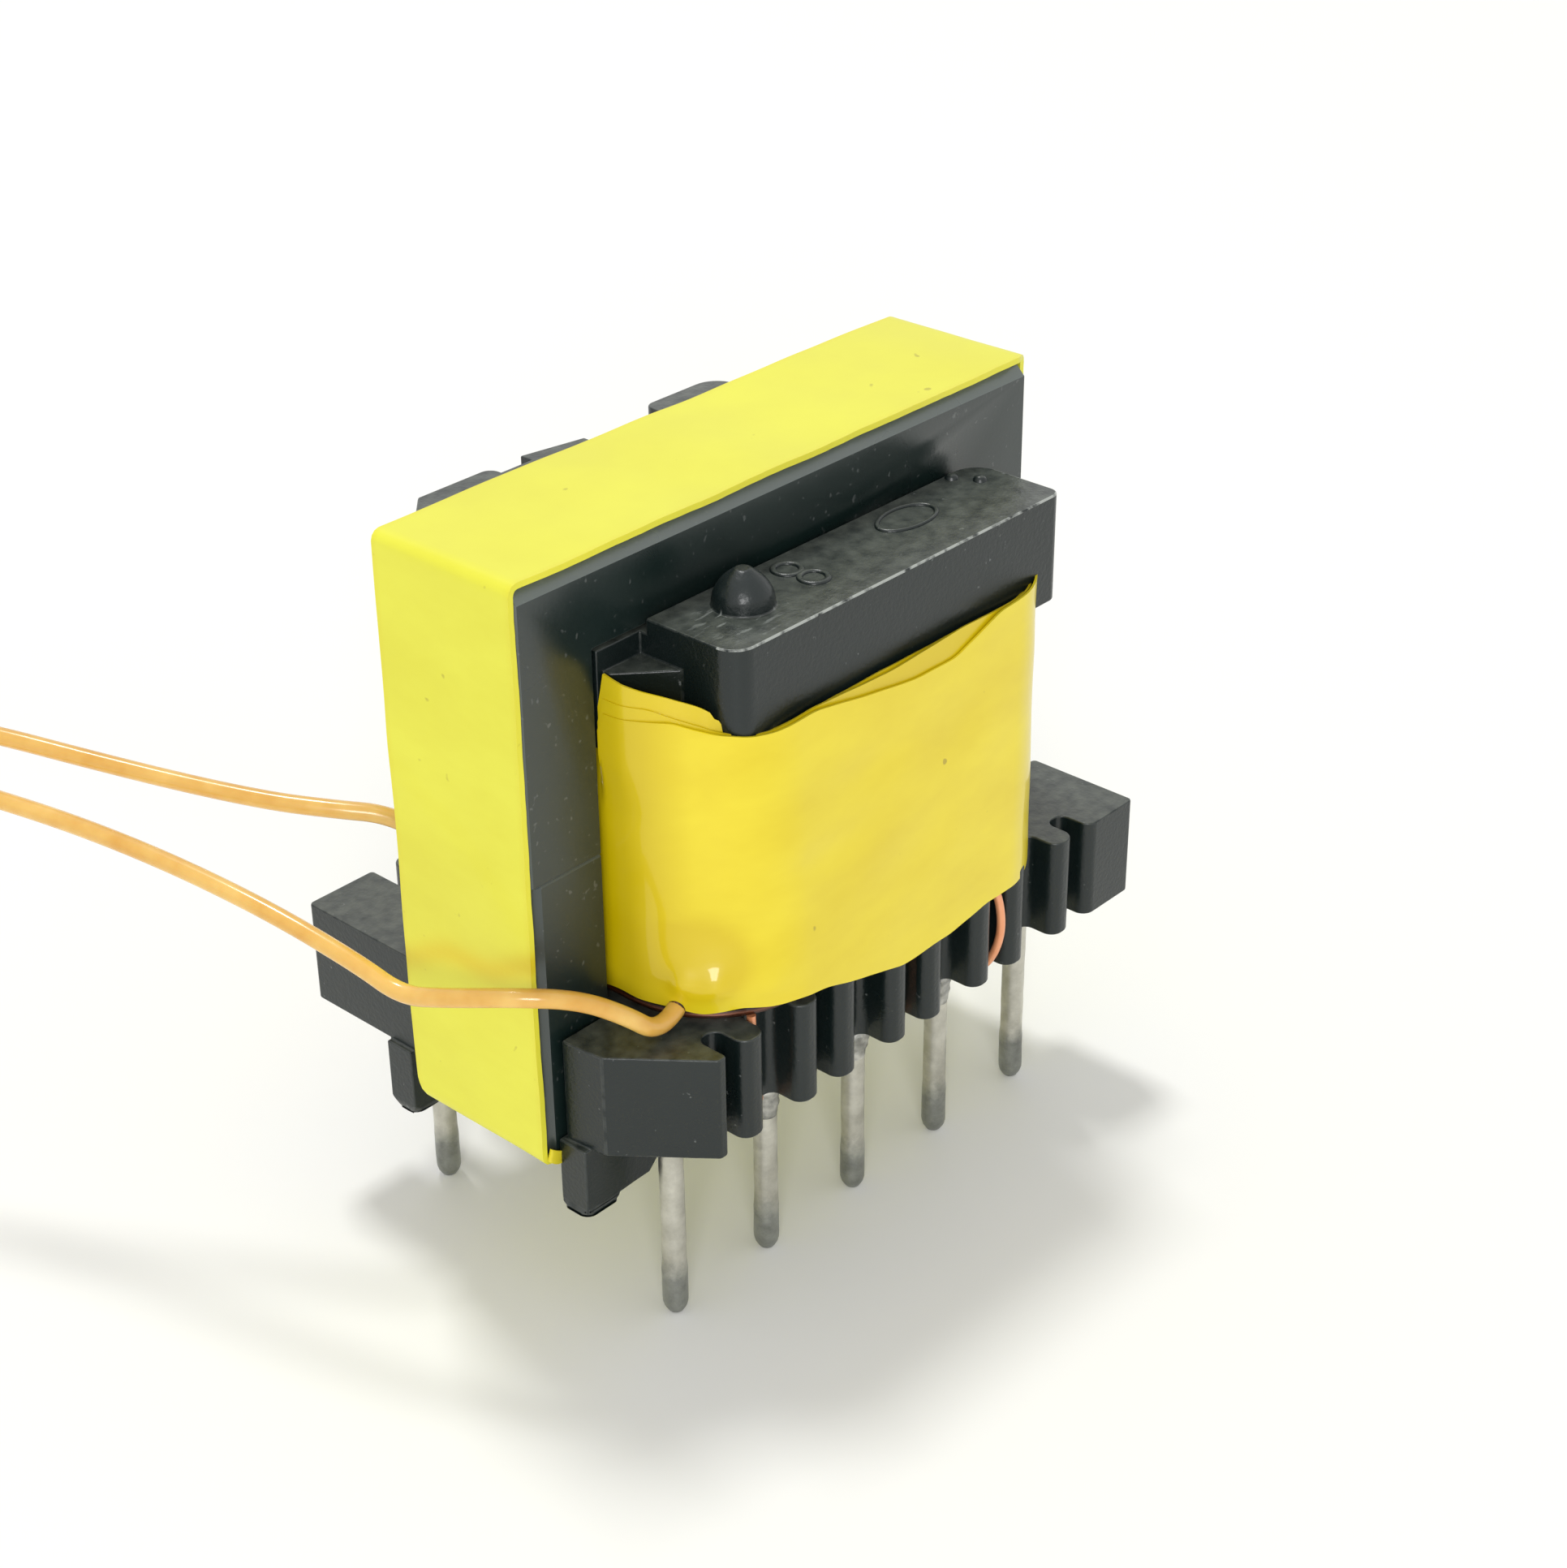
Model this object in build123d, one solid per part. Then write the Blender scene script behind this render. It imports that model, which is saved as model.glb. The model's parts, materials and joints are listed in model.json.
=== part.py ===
from build123d import *
import math
import os

os.makedirs("parts", exist_ok=True)

# High frequency transformer: an upright ten pin bobbin on a pair of E19 ferrite cores.
# Millimetres, +Z up. The origin is the centre of the pin pattern, in the plane of the pin tips.
# +X runs along the pin rows, and -Y is the side of pins 1 to 5.

# Pins
pins_per_row = 5
pin_pitch = 3.6
row_spacing = 9.0
pin_diameter = 0.66
pin_tinned_diameter = 0.7
pin_tinned_length = 1.5
pin_free_length = 5.75
pin_seat_depth = 2.4
pin_tip_chamfer = 0.2

# Ferrite cores
core_width = 19.1
core_depth = 4.8
core_half_height = 8.1
core_outer_leg = 2.4
core_centre_leg = 4.8
core_yoke = 2.4
core_corner_radius = 0.12
core_drop_below_rail = 0.5
centre_leg_gap = 0.15

# Tape round the cores
core_tape_thickness = 0.22

# Bobbin
bore_clearance = 0.1
tube_wall = 0.6
tube_corner_radius = 0.3
flange_clearance = 0.1
flange_end_clearance = 0.1
lower_flange_thickness = 1.05
upper_flange_thickness = 2.7

# Pin rails of the bobbin
rail_core_clearance = 0.2
front_rail_reach = 1.7
back_rail_reach = 2.8
rail_left_overhang = 1.85
rail_right_overhang = 3.15
rail_end_radius = 0.3
tooth_width = 0.85
tooth_offset = 1.5
tooth_nose_radius = 0.38
slot_depth = 1.05
slot_floor_radius = 0.28

# Chamfered block at pin 1
block_facet_depth = 0.2
block_facet_shift = 0.12
block_facet_reach = 1.1
block_nose_width = 0.3

# Stand-off legs under the left ends of the rails
leg_drop = 2.25
leg_overhang = 0.15
leg_width = 1.2
leg_length = 0.95
leg_core_clearance = 0.05
front_leg_rib_rise = 0.35
front_leg_rib_width = 1.1
front_foot_chamfer = 0.1
back_foot_chamfer = 0.2
back_leg_inset = 0.7

# Blocks on the upper flange, outside the cores
block_rise = 0.4
block_left = 5.55
block_right = 7.1
front_block_reach = 5.6
back_block_reach = 7.0
block_left_radius = 0.65
block_right_radius = 0.35
block_inner_radius = 0.8
shoulder_reach = 1.2
shoulder_drop = 0.6
shoulder_setback = 0.2

# Notches in the back block: left edge, right edge and depth from the outer face
back_block_chamfer = 1.2
notch_a_left = -1.75
notch_a_right = -0.65
notch_a_depth = 0.43
notch_b_left = 1.4
notch_b_right = 4.13
notch_b_depth = 0.6
bump_slope = 0.4

# Locating pip on the front block
pip_x = -3.4
pip_setback = 1.75
pip_radius = 0.8
pip_top_radius = 0.22
pip_height = 0.94
pip_collar_height = 0.2

# Windings and tape, as build-up on the tube wall
primary_build = 1.2
inner_tape_build = 0.15
auxiliary_build = 0.25
middle_tape_build = 0.15
secondary_build = 0.95
outer_tape_build = 0.26
side_clearance = 0.2
bow_ratio = 0.05
outer_tape_flare = 0.36
tape_corner_squeeze = 1.45
rim_height = 0.7
rim_side_rise = 1.2
rim_rise_width = 1.6
rim_clearance = 0.03
skirt_left = 0.6
skirt_turn = 0.35
skirt_middle = -0.5
skirt_low = -0.3
skirt_right = -0.15

# Copper lead-outs and solder
lead_out_diameter = 0.25
lead_out_clearance = 0.04
solder_radius = 0.5
solder_height = 0.9
solder_taper = 0.35
tucked_wire_rise = 0.2
side_wire_shift = 1.45

# Insulated fly leads
fly_lead_diameter = 0.5
fly_conductor_diameter = 0.3
fly_tip_length = 2.0
fly_exit_from_core = 0.5
fly_exit_from_side = 1.47
fly_exit_rise = 0.54

# Sizes worked out from those above
half_core_width = core_width / 2
half_core_depth = core_depth / 2
pin_row_y = row_spacing / 2
rail_bottom = pin_free_length
core_bottom = rail_bottom - core_drop_below_rail
core_joint = core_bottom + core_half_height
core_top = core_bottom + 2 * core_half_height
window_half_width = half_core_width - core_outer_leg
lower_flange_top = core_bottom + core_yoke + flange_clearance + lower_flange_thickness
lower_flange_bottom = lower_flange_top - lower_flange_thickness
upper_flange_top = core_top - core_yoke - flange_clearance
upper_flange_bottom = upper_flange_top - upper_flange_thickness
flange_half_width = window_half_width - flange_end_clearance
bore_half = core_centre_leg / 2 + bore_clearance
tube_half = bore_half + tube_wall
rail_inner_y = half_core_depth + rail_core_clearance
pin_span = pin_pitch * (pins_per_row - 1) / 2
front_rail_y = -(pin_row_y + front_rail_reach)
back_rail_y = pin_row_y + back_rail_reach
rail_left = -(pin_span + rail_left_overhang)
rail_right = pin_span + rail_right_overhang
block_top = upper_flange_top + block_rise
winding_build = (primary_build + inner_tape_build + auxiliary_build
                 + middle_tape_build + secondary_build)
taped_build = winding_build + outer_tape_build
side_build_ratio = (window_half_width - side_clearance - tube_half) / taped_build
pin_positions = [pin_pitch * i - pin_span for i in range(pins_per_row)]


def block(x0, x1, y0, y1, z0, z1):
    """A box between two corners."""
    return Pos((x0 + x1) / 2, (y0 + y1) / 2, (z0 + z1) / 2) * Box(x1 - x0, y1 - y0, z1 - z0)


def prism(points, z0, z1):
    """A closed outline in plan, raised from z0 to z1."""
    return extrude(Pos(0, 0, z0) * make_face(Polyline(*points, close=True)), z1 - z0)


def near(vertex, x, y):
    return abs(vertex.X - x) < 1e-4 and abs(vertex.Y - y) < 1e-4


def round_corners(sketch, corners):
    """Round the listed (x, y, radius) corners of a sketch."""
    for x, y, radius in corners:
        sketch = fillet([v for v in sketch.vertices() if near(v, x, y)], radius)
    return sketch


# Cores

def core_half():
    """One E core standing on its yoke, with its legs up to the joint."""
    outline = [
        (-half_core_width, 0), (half_core_width, 0),
        (half_core_width, core_half_height), (window_half_width, core_half_height),
        (window_half_width, core_yoke), (core_centre_leg / 2, core_yoke),
        (core_centre_leg / 2, core_half_height - centre_leg_gap / 2),
        (-core_centre_leg / 2, core_half_height - centre_leg_gap / 2),
        (-core_centre_leg / 2, core_yoke), (-window_half_width, core_yoke),
        (-window_half_width, core_half_height), (-half_core_width, core_half_height),
    ]
    face = make_face(Polyline(*outline, close=True))
    face = round_corners(face, [(-half_core_width, 0, core_corner_radius),
                                (half_core_width, 0, core_corner_radius)])
    return extrude(Plane.XZ * face, half_core_depth, both=True)


def make_cores():
    half = core_half()
    lower = Pos(0, 0, core_bottom) * half
    upper = Pos(0, 0, core_top) * Rot(180, 0, 0) * half
    return lower, upper


def make_core_tape():
    """The closed band of tape that binds the two cores."""
    middle = Plane.XZ * Pos(0, core_joint)
    inner = RectangleRounded(core_width, 2 * core_half_height, core_corner_radius)
    outer = RectangleRounded(core_width + 2 * core_tape_thickness,
                             2 * core_half_height + 2 * core_tape_thickness,
                             core_corner_radius + core_tape_thickness)
    return extrude(middle * (outer - inner), half_core_depth, both=True)


# Bobbin

def slot_sketch(x, width, face_y, depth):
    """One wire slot, open at the rail's outer face and rounded at its floor."""
    radius = min(slot_floor_radius, 0.45 * width)
    return Pos(x, face_y) * RectangleRounded(width, 2 * depth, radius)


def comb(outline, corners, face_y, depth):
    """A rail in plan: the outline with a narrow and a wide slot beside each pin."""
    sketch = round_corners(make_face(Polyline(*outline, close=True)), corners)
    narrow = tooth_offset - tooth_width
    wide = pin_pitch - tooth_offset - tooth_width
    edges = []
    for i, x in enumerate(pin_positions):
        slots = [(x + tooth_offset / 2, narrow)]
        if i < pins_per_row - 1:
            slots.append((x + (tooth_offset + pin_pitch) / 2, wide))
        for middle, width in slots:
            sketch -= slot_sketch(middle, width, face_y, depth)
            edges += [middle - width / 2, middle + width / 2]
    sketch = round_corners(sketch, [(edges[0], face_y, min(tooth_nose_radius, 0.4 * block_nose_width))])
    noses = [v for v in sketch.vertices() if any(near(v, x, face_y) for x in edges[1:])]
    return fillet(noses, tooth_nose_radius)


def front_rail():
    facet_y = -(rail_inner_y + block_facet_depth)
    nose_x = -pin_span + tooth_width / 2 - block_nose_width
    outline = [
        (rail_left, -rail_inner_y), (rail_left, facet_y),
        (rail_left + block_facet_shift, facet_y - block_facet_reach),
        (nose_x, front_rail_y), (rail_right, front_rail_y), (rail_right, -rail_inner_y),
    ]
    corners = [(nose_x, front_rail_y, rail_end_radius / 2),
               (rail_right, front_rail_y, rail_end_radius / 2),
               (rail_right, -rail_inner_y, rail_end_radius / 2)]
    sketch = comb(outline, corners, front_rail_y, slot_depth)
    return extrude(Pos(0, 0, rail_bottom) * sketch, lower_flange_top - rail_bottom)


def back_rail():
    outline = [(rail_left, rail_inner_y), (rail_left, back_rail_y),
               (rail_right, back_rail_y), (rail_right, rail_inner_y)]
    corners = [(rail_left, back_rail_y, rail_end_radius / 2),
               (rail_right, back_rail_y, rail_end_radius / 2),
               (rail_right, rail_inner_y, rail_end_radius)]
    depth = slot_depth + back_rail_reach - front_rail_reach
    sketch = comb(outline, corners, back_rail_y, depth)
    return extrude(Pos(0, 0, rail_bottom) * sketch, lower_flange_top - rail_bottom)


def front_leg():
    """The stand-off leg under the left end of the front rail, with the rib that stiffens it."""
    left = rail_left - leg_overhang
    right = left + leg_width
    foot_z = rail_bottom - leg_drop
    rib_z = foot_z + front_leg_rib_rise
    outline = [
        (left, rail_bottom), (left, foot_z), (right, foot_z), (right, rib_z),
        (right + front_leg_rib_width, rib_z),
        (right + front_leg_rib_width + rail_bottom - rib_z, rail_bottom),
    ]
    inner_y = -(half_core_depth + leg_core_clearance)
    face = Plane.XZ.offset(-inner_y) * make_face(Polyline(*outline, close=True))
    leg = extrude(face, leg_length)
    return chamfer(leg.faces().sort_by(Axis.Z)[0].edges(), front_foot_chamfer)


def back_leg():
    left = rail_left - leg_overhang
    inner_y = rail_inner_y + back_leg_inset
    leg = block(left, left + leg_width, inner_y, inner_y + leg_length,
                rail_bottom - leg_drop, rail_bottom)
    foot = leg.faces().sort_by(Axis.Z)[0].edges()
    return chamfer(foot, back_foot_chamfer)


def front_block():
    """The front block of the upper flange, with its low shoulder and pip."""
    corners = [(-block_left, -front_block_reach, block_left_radius),
               (block_right, -front_block_reach, block_right_radius),
               (block_right, -rail_inner_y, block_inner_radius)]
    outline = [(-block_left, -rail_inner_y), (-block_left, -front_block_reach),
               (block_right, -front_block_reach), (block_right, -rail_inner_y)]
    sketch = round_corners(make_face(Polyline(*outline, close=True)), corners)
    body = extrude(Pos(0, 0, upper_flange_bottom) * sketch, block_top - upper_flange_bottom)
    return body + shoulder(0, upper_flange_top - shoulder_drop) + pip()


def shoulder(clearance, top):
    """The wedge of flange that runs back from the front block's left side, with room round it."""
    end = shoulder_setback - flange_half_width - clearance
    tip_y = -rail_inner_y - shoulder_reach - 2 * clearance
    return prism([(-block_left, -half_core_depth), (end, -half_core_depth),
                  (end, -rail_inner_y - clearance), (-block_left, tip_y)],
                 upper_flange_bottom - clearance, top)


def pip():
    """The bell-shaped locating pip."""
    bulge = (pip_radius + 0.35 * pip_top_radius) / 1.35
    arc = ThreePointArc((pip_radius, pip_collar_height), (bulge, 0.75 * pip_height),
                        (pip_top_radius, pip_height))
    base = Polyline((pip_top_radius, pip_height), (0, pip_height), (0, 0), (pip_radius, 0),
                    (pip_radius, pip_collar_height))
    bell = revolve(Plane.XZ * make_face([arc, base]), Axis.Z)
    return Pos(pip_x, pip_setback - front_block_reach, block_top) * bell


def back_block():
    """The back block of the upper flange, with two wire notches and a sloping bump between."""
    outline = [
        (-block_left, rail_inner_y), (-block_left, back_block_reach - back_block_chamfer),
        (-block_left + back_block_chamfer, back_block_reach), (notch_a_left, back_block_reach),
        (notch_a_left, back_block_reach - notch_a_depth),
        (notch_a_right, back_block_reach - notch_a_depth), (notch_a_right, back_block_reach),
        (notch_b_left, back_block_reach - bump_slope),
        (notch_b_left, back_block_reach - notch_b_depth),
        (notch_b_right, back_block_reach - notch_b_depth), (notch_b_right, back_block_reach),
        (block_right, back_block_reach), (block_right, rail_inner_y),
    ]
    corners = [(notch_a_left, back_block_reach, block_right_radius),
               (notch_b_right, back_block_reach, block_right_radius),
               (block_right, back_block_reach, block_inner_radius)]
    sketch = round_corners(make_face(Polyline(*outline, close=True)), corners)
    return extrude(Pos(0, 0, upper_flange_bottom) * sketch, block_top - upper_flange_bottom)


def make_bobbin():
    tube = Pos(0, 0, lower_flange_bottom) * extrude(
        RectangleRounded(2 * tube_half, 2 * tube_half, tube_corner_radius),
        upper_flange_top - lower_flange_bottom)
    lower = block(-flange_half_width, flange_half_width, -rail_inner_y, rail_inner_y,
                  lower_flange_bottom, lower_flange_top)
    upper = block(-flange_half_width, flange_half_width, -half_core_depth, half_core_depth,
                  upper_flange_bottom, upper_flange_top)
    upper += block(-block_left, flange_half_width - shoulder_setback, -rail_inner_y, rail_inner_y,
                   upper_flange_bottom, upper_flange_top)
    body = tube + lower + upper + front_rail() + back_rail() + front_block() + back_block()
    body += front_leg()
    body += back_leg()
    body -= block(-bore_half, bore_half, -bore_half, bore_half, lower_flange_bottom, upper_flange_top)
    for x, y in pin_centres():
        body -= pin_rod(x, y, pin_diameter, rail_bottom - pin_diameter, rail_bottom + pin_seat_depth)
    return body


# Pins

def pin_centres():
    """Pins 1 to 5 along the front row, then 6 to 10 back along the other row."""
    front = [(x, -pin_row_y) for x in pin_positions]
    back = [(x, pin_row_y) for x in reversed(pin_positions)]
    return front + back


def pin_rod(x, y, diameter, z0, z1):
    return Pos(x, y, (z0 + z1) / 2) * Cylinder(diameter / 2, z1 - z0)


def make_pin(x, y):
    """A plain pin whose board end is thicker by its coat of tin."""
    coated = pin_rod(x, y, pin_tinned_diameter, 0, pin_tinned_length)
    coated = chamfer(coated.edges().sort_by(Axis.Z)[0], pin_tip_chamfer)
    return coated + pin_rod(x, y, pin_diameter, pin_tip_chamfer, pin_free_length + pin_seat_depth)


# Windings

def turns_outline(build, flare=0.0, squeeze=0.0):
    """The plan of the windings at a given build-up: a rounded rectangle with bowed long sides.

    The squeeze makes the right-hand corners tighter than the left-hand ones."""
    half_x = tube_half + build * side_build_ratio
    half_y = tube_half + build + flare
    bow = build * bow_ratio
    side = half_y - bow
    outline = Sketch() + make_face([
        ThreePointArc((-half_x, -side), (0, -half_y), (half_x, -side)),
        Line((half_x, -side), (half_x, side)),
        ThreePointArc((half_x, side), (0, half_y), (-half_x, side)),
        Line((-half_x, side), (-half_x, -side)),
    ])
    radius = tube_corner_radius + build
    left = [(-half_x, -side, radius), (-half_x, side, radius)]
    right = [(half_x, -side, radius - squeeze), (half_x, side, radius - squeeze)]
    return round_corners(outline, left + right)


def tube_outline():
    return RectangleRounded(2 * tube_half, 2 * tube_half, tube_corner_radius)


def winding_layer(inner_build, outer_build):
    """One winding or layer of tape between the flanges."""
    inner = turns_outline(inner_build) if inner_build > 0 else tube_outline()
    sketch = turns_outline(outer_build) - inner
    return extrude(Pos(0, 0, lower_flange_top) * sketch, upper_flange_bottom - lower_flange_top)


def winding_layers():
    """The layers from the tube outwards, with their nodes' names."""
    builds = [
        ("primary_winding", primary_build),
        ("inner_insulation_tape", inner_tape_build),
        ("auxiliary_winding", auxiliary_build),
        ("middle_insulation_tape", middle_tape_build),
        ("secondary_winding", secondary_build),
    ]
    layers = {}
    reached = 0.0
    for name, build in builds:
        layers[name] = winding_layer(reached, reached + build)
        reached += build
    return layers


def flange_clearance_zone():
    """The room that the upper flange takes from the rim of the outer tape, with its clearance."""
    bottom = upper_flange_bottom - rim_clearance
    height = block_top - bottom
    reach = front_block_reach + rim_clearance
    left = block_left + rim_clearance
    right = block_right + rim_clearance
    corner = block_left_radius + rim_clearance
    outline = [(-left, 0), (-left, -reach), (right, -reach), (right, 0)]
    front = round_corners(make_face(Polyline(*outline, close=True)), [(-left, -reach, corner)])
    end = flange_half_width + rim_clearance
    side = rail_inner_y + rim_clearance
    middle = block(-end, end, -side, side, bottom, block_top)
    back = block(-left, right, rail_inner_y, back_block_reach, bottom, block_top)
    front = extrude(Pos(0, 0, bottom) * front, height)
    return front + middle + back + shoulder(rim_clearance, block_top)


def rim_profile():
    """What lies above the upper edge of the outer tape, which climbs on the left."""
    top = upper_flange_bottom + rim_height
    side = tube_half + taped_build * side_build_ratio
    far = side + outer_tape_flare
    turn = side - outer_tape_build - rim_rise_width
    outline = [(-far, top + rim_side_rise), (-side + outer_tape_build, top + rim_side_rise),
               (-turn, top), (far, top), (far, block_top), (-far, block_top)]
    return extrude(Plane.XZ * make_face(Polyline(*outline, close=True)), back_block_reach, both=True)


def skirt_profile():
    """What lies below the lower edge of the outer tape, which dips in front of the teeth."""
    far = flange_half_width + outer_tape_flare
    edge = Spline((-far, lower_flange_top + skirt_left), (-pin_pitch, lower_flange_top + skirt_turn),
                  (0, lower_flange_top + skirt_middle), (pin_pitch, lower_flange_top + skirt_low),
                  (far, lower_flange_top + skirt_right))
    base = Polyline((far, lower_flange_top + skirt_right), (far, rail_bottom), (-far, rail_bottom),
                    (-far, lower_flange_top + skirt_left))
    return extrude(Plane.XZ * make_face([edge, base]), back_block_reach, both=True)


def make_outer_tape():
    """The outer tape, flared over the front teeth and standing off the flange at its rim."""
    low = lower_flange_top + skirt_middle - rim_clearance
    high = upper_flange_bottom + rim_height + rim_side_rise
    shell = loft([Pos(0, 0, low) * turns_outline(taped_build, outer_tape_flare, tape_corner_squeeze / 2),
                  Pos(0, 0, high) * turns_outline(taped_build, 0, tape_corner_squeeze)])
    shell -= extrude(Pos(0, 0, low) * turns_outline(winding_build), high - low)
    shell -= skirt_profile()
    shell -= rim_profile()
    shell -= flange_clearance_zone()
    rail_room = block(rail_left, rail_right, front_rail_y - rim_clearance, back_rail_y,
                      rail_bottom, lower_flange_top)
    return shell - rail_room


# Wires

def wire_radii(points):
    """The largest arc that each corner of a wire's route has room for."""
    radii = []
    for before, here, after in zip(points, points[1:], points[2:]):
        arriving = Vector(*here) - Vector(*before)
        leaving = Vector(*after) - Vector(*here)
        turn = math.radians(arriving.get_angle(leaving))
        radii.append(0.45 * min(arriving.length, leaving.length) / math.tan(turn / 2))
    return radii


def wire(points, diameter):
    """A round wire along straight runs joined by tangent arcs."""
    path = FilletPolyline(*points, radius=wire_radii(points))
    section = Plane(origin=path @ 0, z_dir=path % 0) * Circle(diameter / 2)
    return sweep(section, path=path)


def lead_out(x, slot_x, side, mouth_y):
    """A copper wire from the windings' lower edge, down a slot of the rail, to the root of a pin."""
    start_y = tube_half + winding_build - lead_out_diameter
    start = (slot_x, side * start_y, lower_flange_top + lead_out_diameter)
    bend = Vector(slot_x, side * mouth_y, rail_bottom - lead_out_diameter)
    root = Vector(x, side * pin_row_y, rail_bottom - solder_height / 2)
    end = root + (bend - root).normalized() * (solder_radius + lead_out_clearance)
    whole = wire([start, tuple(bend), tuple(end)], lead_out_diameter)
    above = block(rail_left, rail_right, front_rail_y, back_rail_y, lower_flange_top, upper_flange_bottom)
    return whole - above


def solder_joint(x, y):
    """The soldered wraps of wire round the root of a pin."""
    inner = pin_diameter / 2
    waist = inner + 0.7 * (solder_radius - inner)
    outline = [(inner, 0), (waist, 0), (solder_radius, -solder_height / 2), (waist, -solder_height),
               (inner, -solder_height - solder_taper)]
    profile = Plane.XZ * make_face(Polyline(*outline, close=True))
    return Pos(x, y, rail_bottom) * revolve(profile, Axis.Z)


# The insulated fly leads, as places seen from the point where each leaves the winding
front_fly_path = [
    (0, 0, 0),
    (-0.80, -0.19, -0.37),
    (-1.95, 0.25, 0.80),
    (-3.95, 1.75, 1.42),
    (-5.25, 4.75, 1.05),
    (-6.30, 9.90, 2.55),
    (-7.80, 16.40, 3.05),
    (-9.95, 22.00, 3.55),
    (-11.65, 26.90, 3.40),
]
back_fly_path = [
    (0, 0, 0),
    (-1.15, -0.05, 0.00),
    (-1.10, -0.75, 1.00),
    (-1.10, -0.78, 2.50),
    (-1.85, -0.05, 3.20),
    (-2.75, 0.90, 3.36),
    (-3.85, 2.45, 3.52),
    (-5.40, 5.50, 3.85),
    (-8.10, 10.60, 4.75),
    (-10.50, 15.40, 4.65),
    (-12.10, 20.00, 4.95),
    (-13.30, 24.40, 4.75),
]


def fly_route(side, path):
    """A fly lead's route, from the winding's left end on the given side of the cores."""
    exit_x = fly_exit_from_core - window_half_width
    exit_y = side * (tube_half + winding_build - fly_exit_from_side)
    exit_z = lower_flange_top + fly_exit_rise
    return [(exit_x + x, exit_y + y, exit_z + z) for x, y, z in path]


def fly_tip(route):
    """The stripped and tinned end of a fly lead's conductor."""
    end = Vector(*route[-1])
    direction = (end - Vector(*route[-2])).normalized()
    face = Plane(origin=end, z_dir=direction)
    return extrude(face * Circle(fly_conductor_diameter / 2), fly_tip_length)


def fly_root(route):
    """The last of the winding's own wire, which runs out through the tape to meet the lead."""
    start = Vector(*route[0])
    inward = (start - Vector(*route[1])).normalized()
    face = Plane(origin=start, z_dir=inward)
    return extrude(face * Circle(fly_lead_diameter / 2), 2 * fly_lead_diameter)


def fly_passage(route):
    start = Vector(*route[0])
    outward = (Vector(*route[1]) - start).normalized()
    face = Plane(origin=start + outward * fly_lead_diameter, z_dir=outward * -1)
    return extrude(face * Circle(fly_lead_diameter / 2 + rim_clearance), 3 * fly_lead_diameter)


def build():
    lower, upper = make_cores()
    parts = {
        "bobbin": make_bobbin(),
        "core_lower": lower,
        "core_upper": upper,
        "core_tape": make_core_tape(),
    }
    for number, (x, y) in enumerate(pin_centres(), start=1):
        parts[f"pin_{number}"] = make_pin(x, y)
    parts.update(winding_layers())
    outer_tape = make_outer_tape()
    routes = {"front": fly_route(-1, front_fly_path), "back": fly_route(1, back_fly_path)}
    for route in routes.values():
        parts["secondary_winding"] += fly_root(route)
        outer_tape -= fly_passage(route)
    parts["outer_winding_tape"] = outer_tape
    narrow = tooth_offset / 2
    proud = pin_row_y + front_rail_reach - lead_out_diameter
    tucked = proud + lead_out_diameter - slot_depth + tucked_wire_rise
    terminations = {2: (-side_wire_shift, tucked), 3: (narrow, tucked),
                    4: (narrow, proud), 8: (narrow, tucked)}
    centres = pin_centres()
    for number, (shift, mouth_y) in terminations.items():
        x, y = centres[number - 1]
        parts[f"lead_out_{number}"] = lead_out(x, x + shift, math.copysign(1, y), mouth_y)
        parts[f"solder_joint_{number}"] = solder_joint(x, y)
    for name, route in routes.items():
        parts[f"fly_lead_{name}"] = wire(route, fly_lead_diameter)
        parts[f"fly_lead_tip_{name}"] = fly_tip(route)
        print(f"fly_lead_{name} arc radii", [round(radius, 2) for radius in wire_radii(route)])
    return parts


for node, shape in build().items():
    export_step(shape, f"parts/{node}.step")
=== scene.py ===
import json
import math

import bmesh
import bpy
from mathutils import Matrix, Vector, noise


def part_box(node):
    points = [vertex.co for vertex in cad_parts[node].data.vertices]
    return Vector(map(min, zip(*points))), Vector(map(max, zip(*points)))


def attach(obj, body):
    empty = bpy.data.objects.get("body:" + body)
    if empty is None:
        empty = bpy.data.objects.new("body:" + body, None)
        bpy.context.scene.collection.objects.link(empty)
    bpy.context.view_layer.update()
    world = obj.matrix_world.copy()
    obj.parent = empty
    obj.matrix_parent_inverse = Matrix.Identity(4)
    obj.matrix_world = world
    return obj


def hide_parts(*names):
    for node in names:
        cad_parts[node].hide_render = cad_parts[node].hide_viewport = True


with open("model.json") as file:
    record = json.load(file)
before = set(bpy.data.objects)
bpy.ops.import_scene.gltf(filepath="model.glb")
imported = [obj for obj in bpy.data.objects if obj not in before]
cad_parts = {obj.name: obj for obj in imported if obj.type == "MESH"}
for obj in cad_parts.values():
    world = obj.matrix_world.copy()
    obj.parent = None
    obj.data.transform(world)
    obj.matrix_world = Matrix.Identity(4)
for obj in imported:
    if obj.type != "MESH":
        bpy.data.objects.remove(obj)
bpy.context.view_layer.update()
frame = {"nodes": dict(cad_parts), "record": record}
mm = 0.001


# small helpers

def srgb(code):
    parts = [int(code[i:i + 2], 16) / 255 for i in (1, 3, 5)]
    linear = [c / 12.92 if c <= 0.04045 else ((c + 0.055) / 1.055) ** 2.4 for c in parts]
    return (*linear, 1.0)


def fillSockets(tree, node, values):
    # links a socket to the node or output given for it, or sets it to the value given
    for socket, value in values.items():
        if isinstance(value, bpy.types.Node):
            value = next(output for output in value.outputs if output.enabled)
        if isinstance(value, bpy.types.NodeSocket):
            tree.links.new(value, node.inputs[socket])
        else:
            node.inputs[socket].default_value = value


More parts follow.
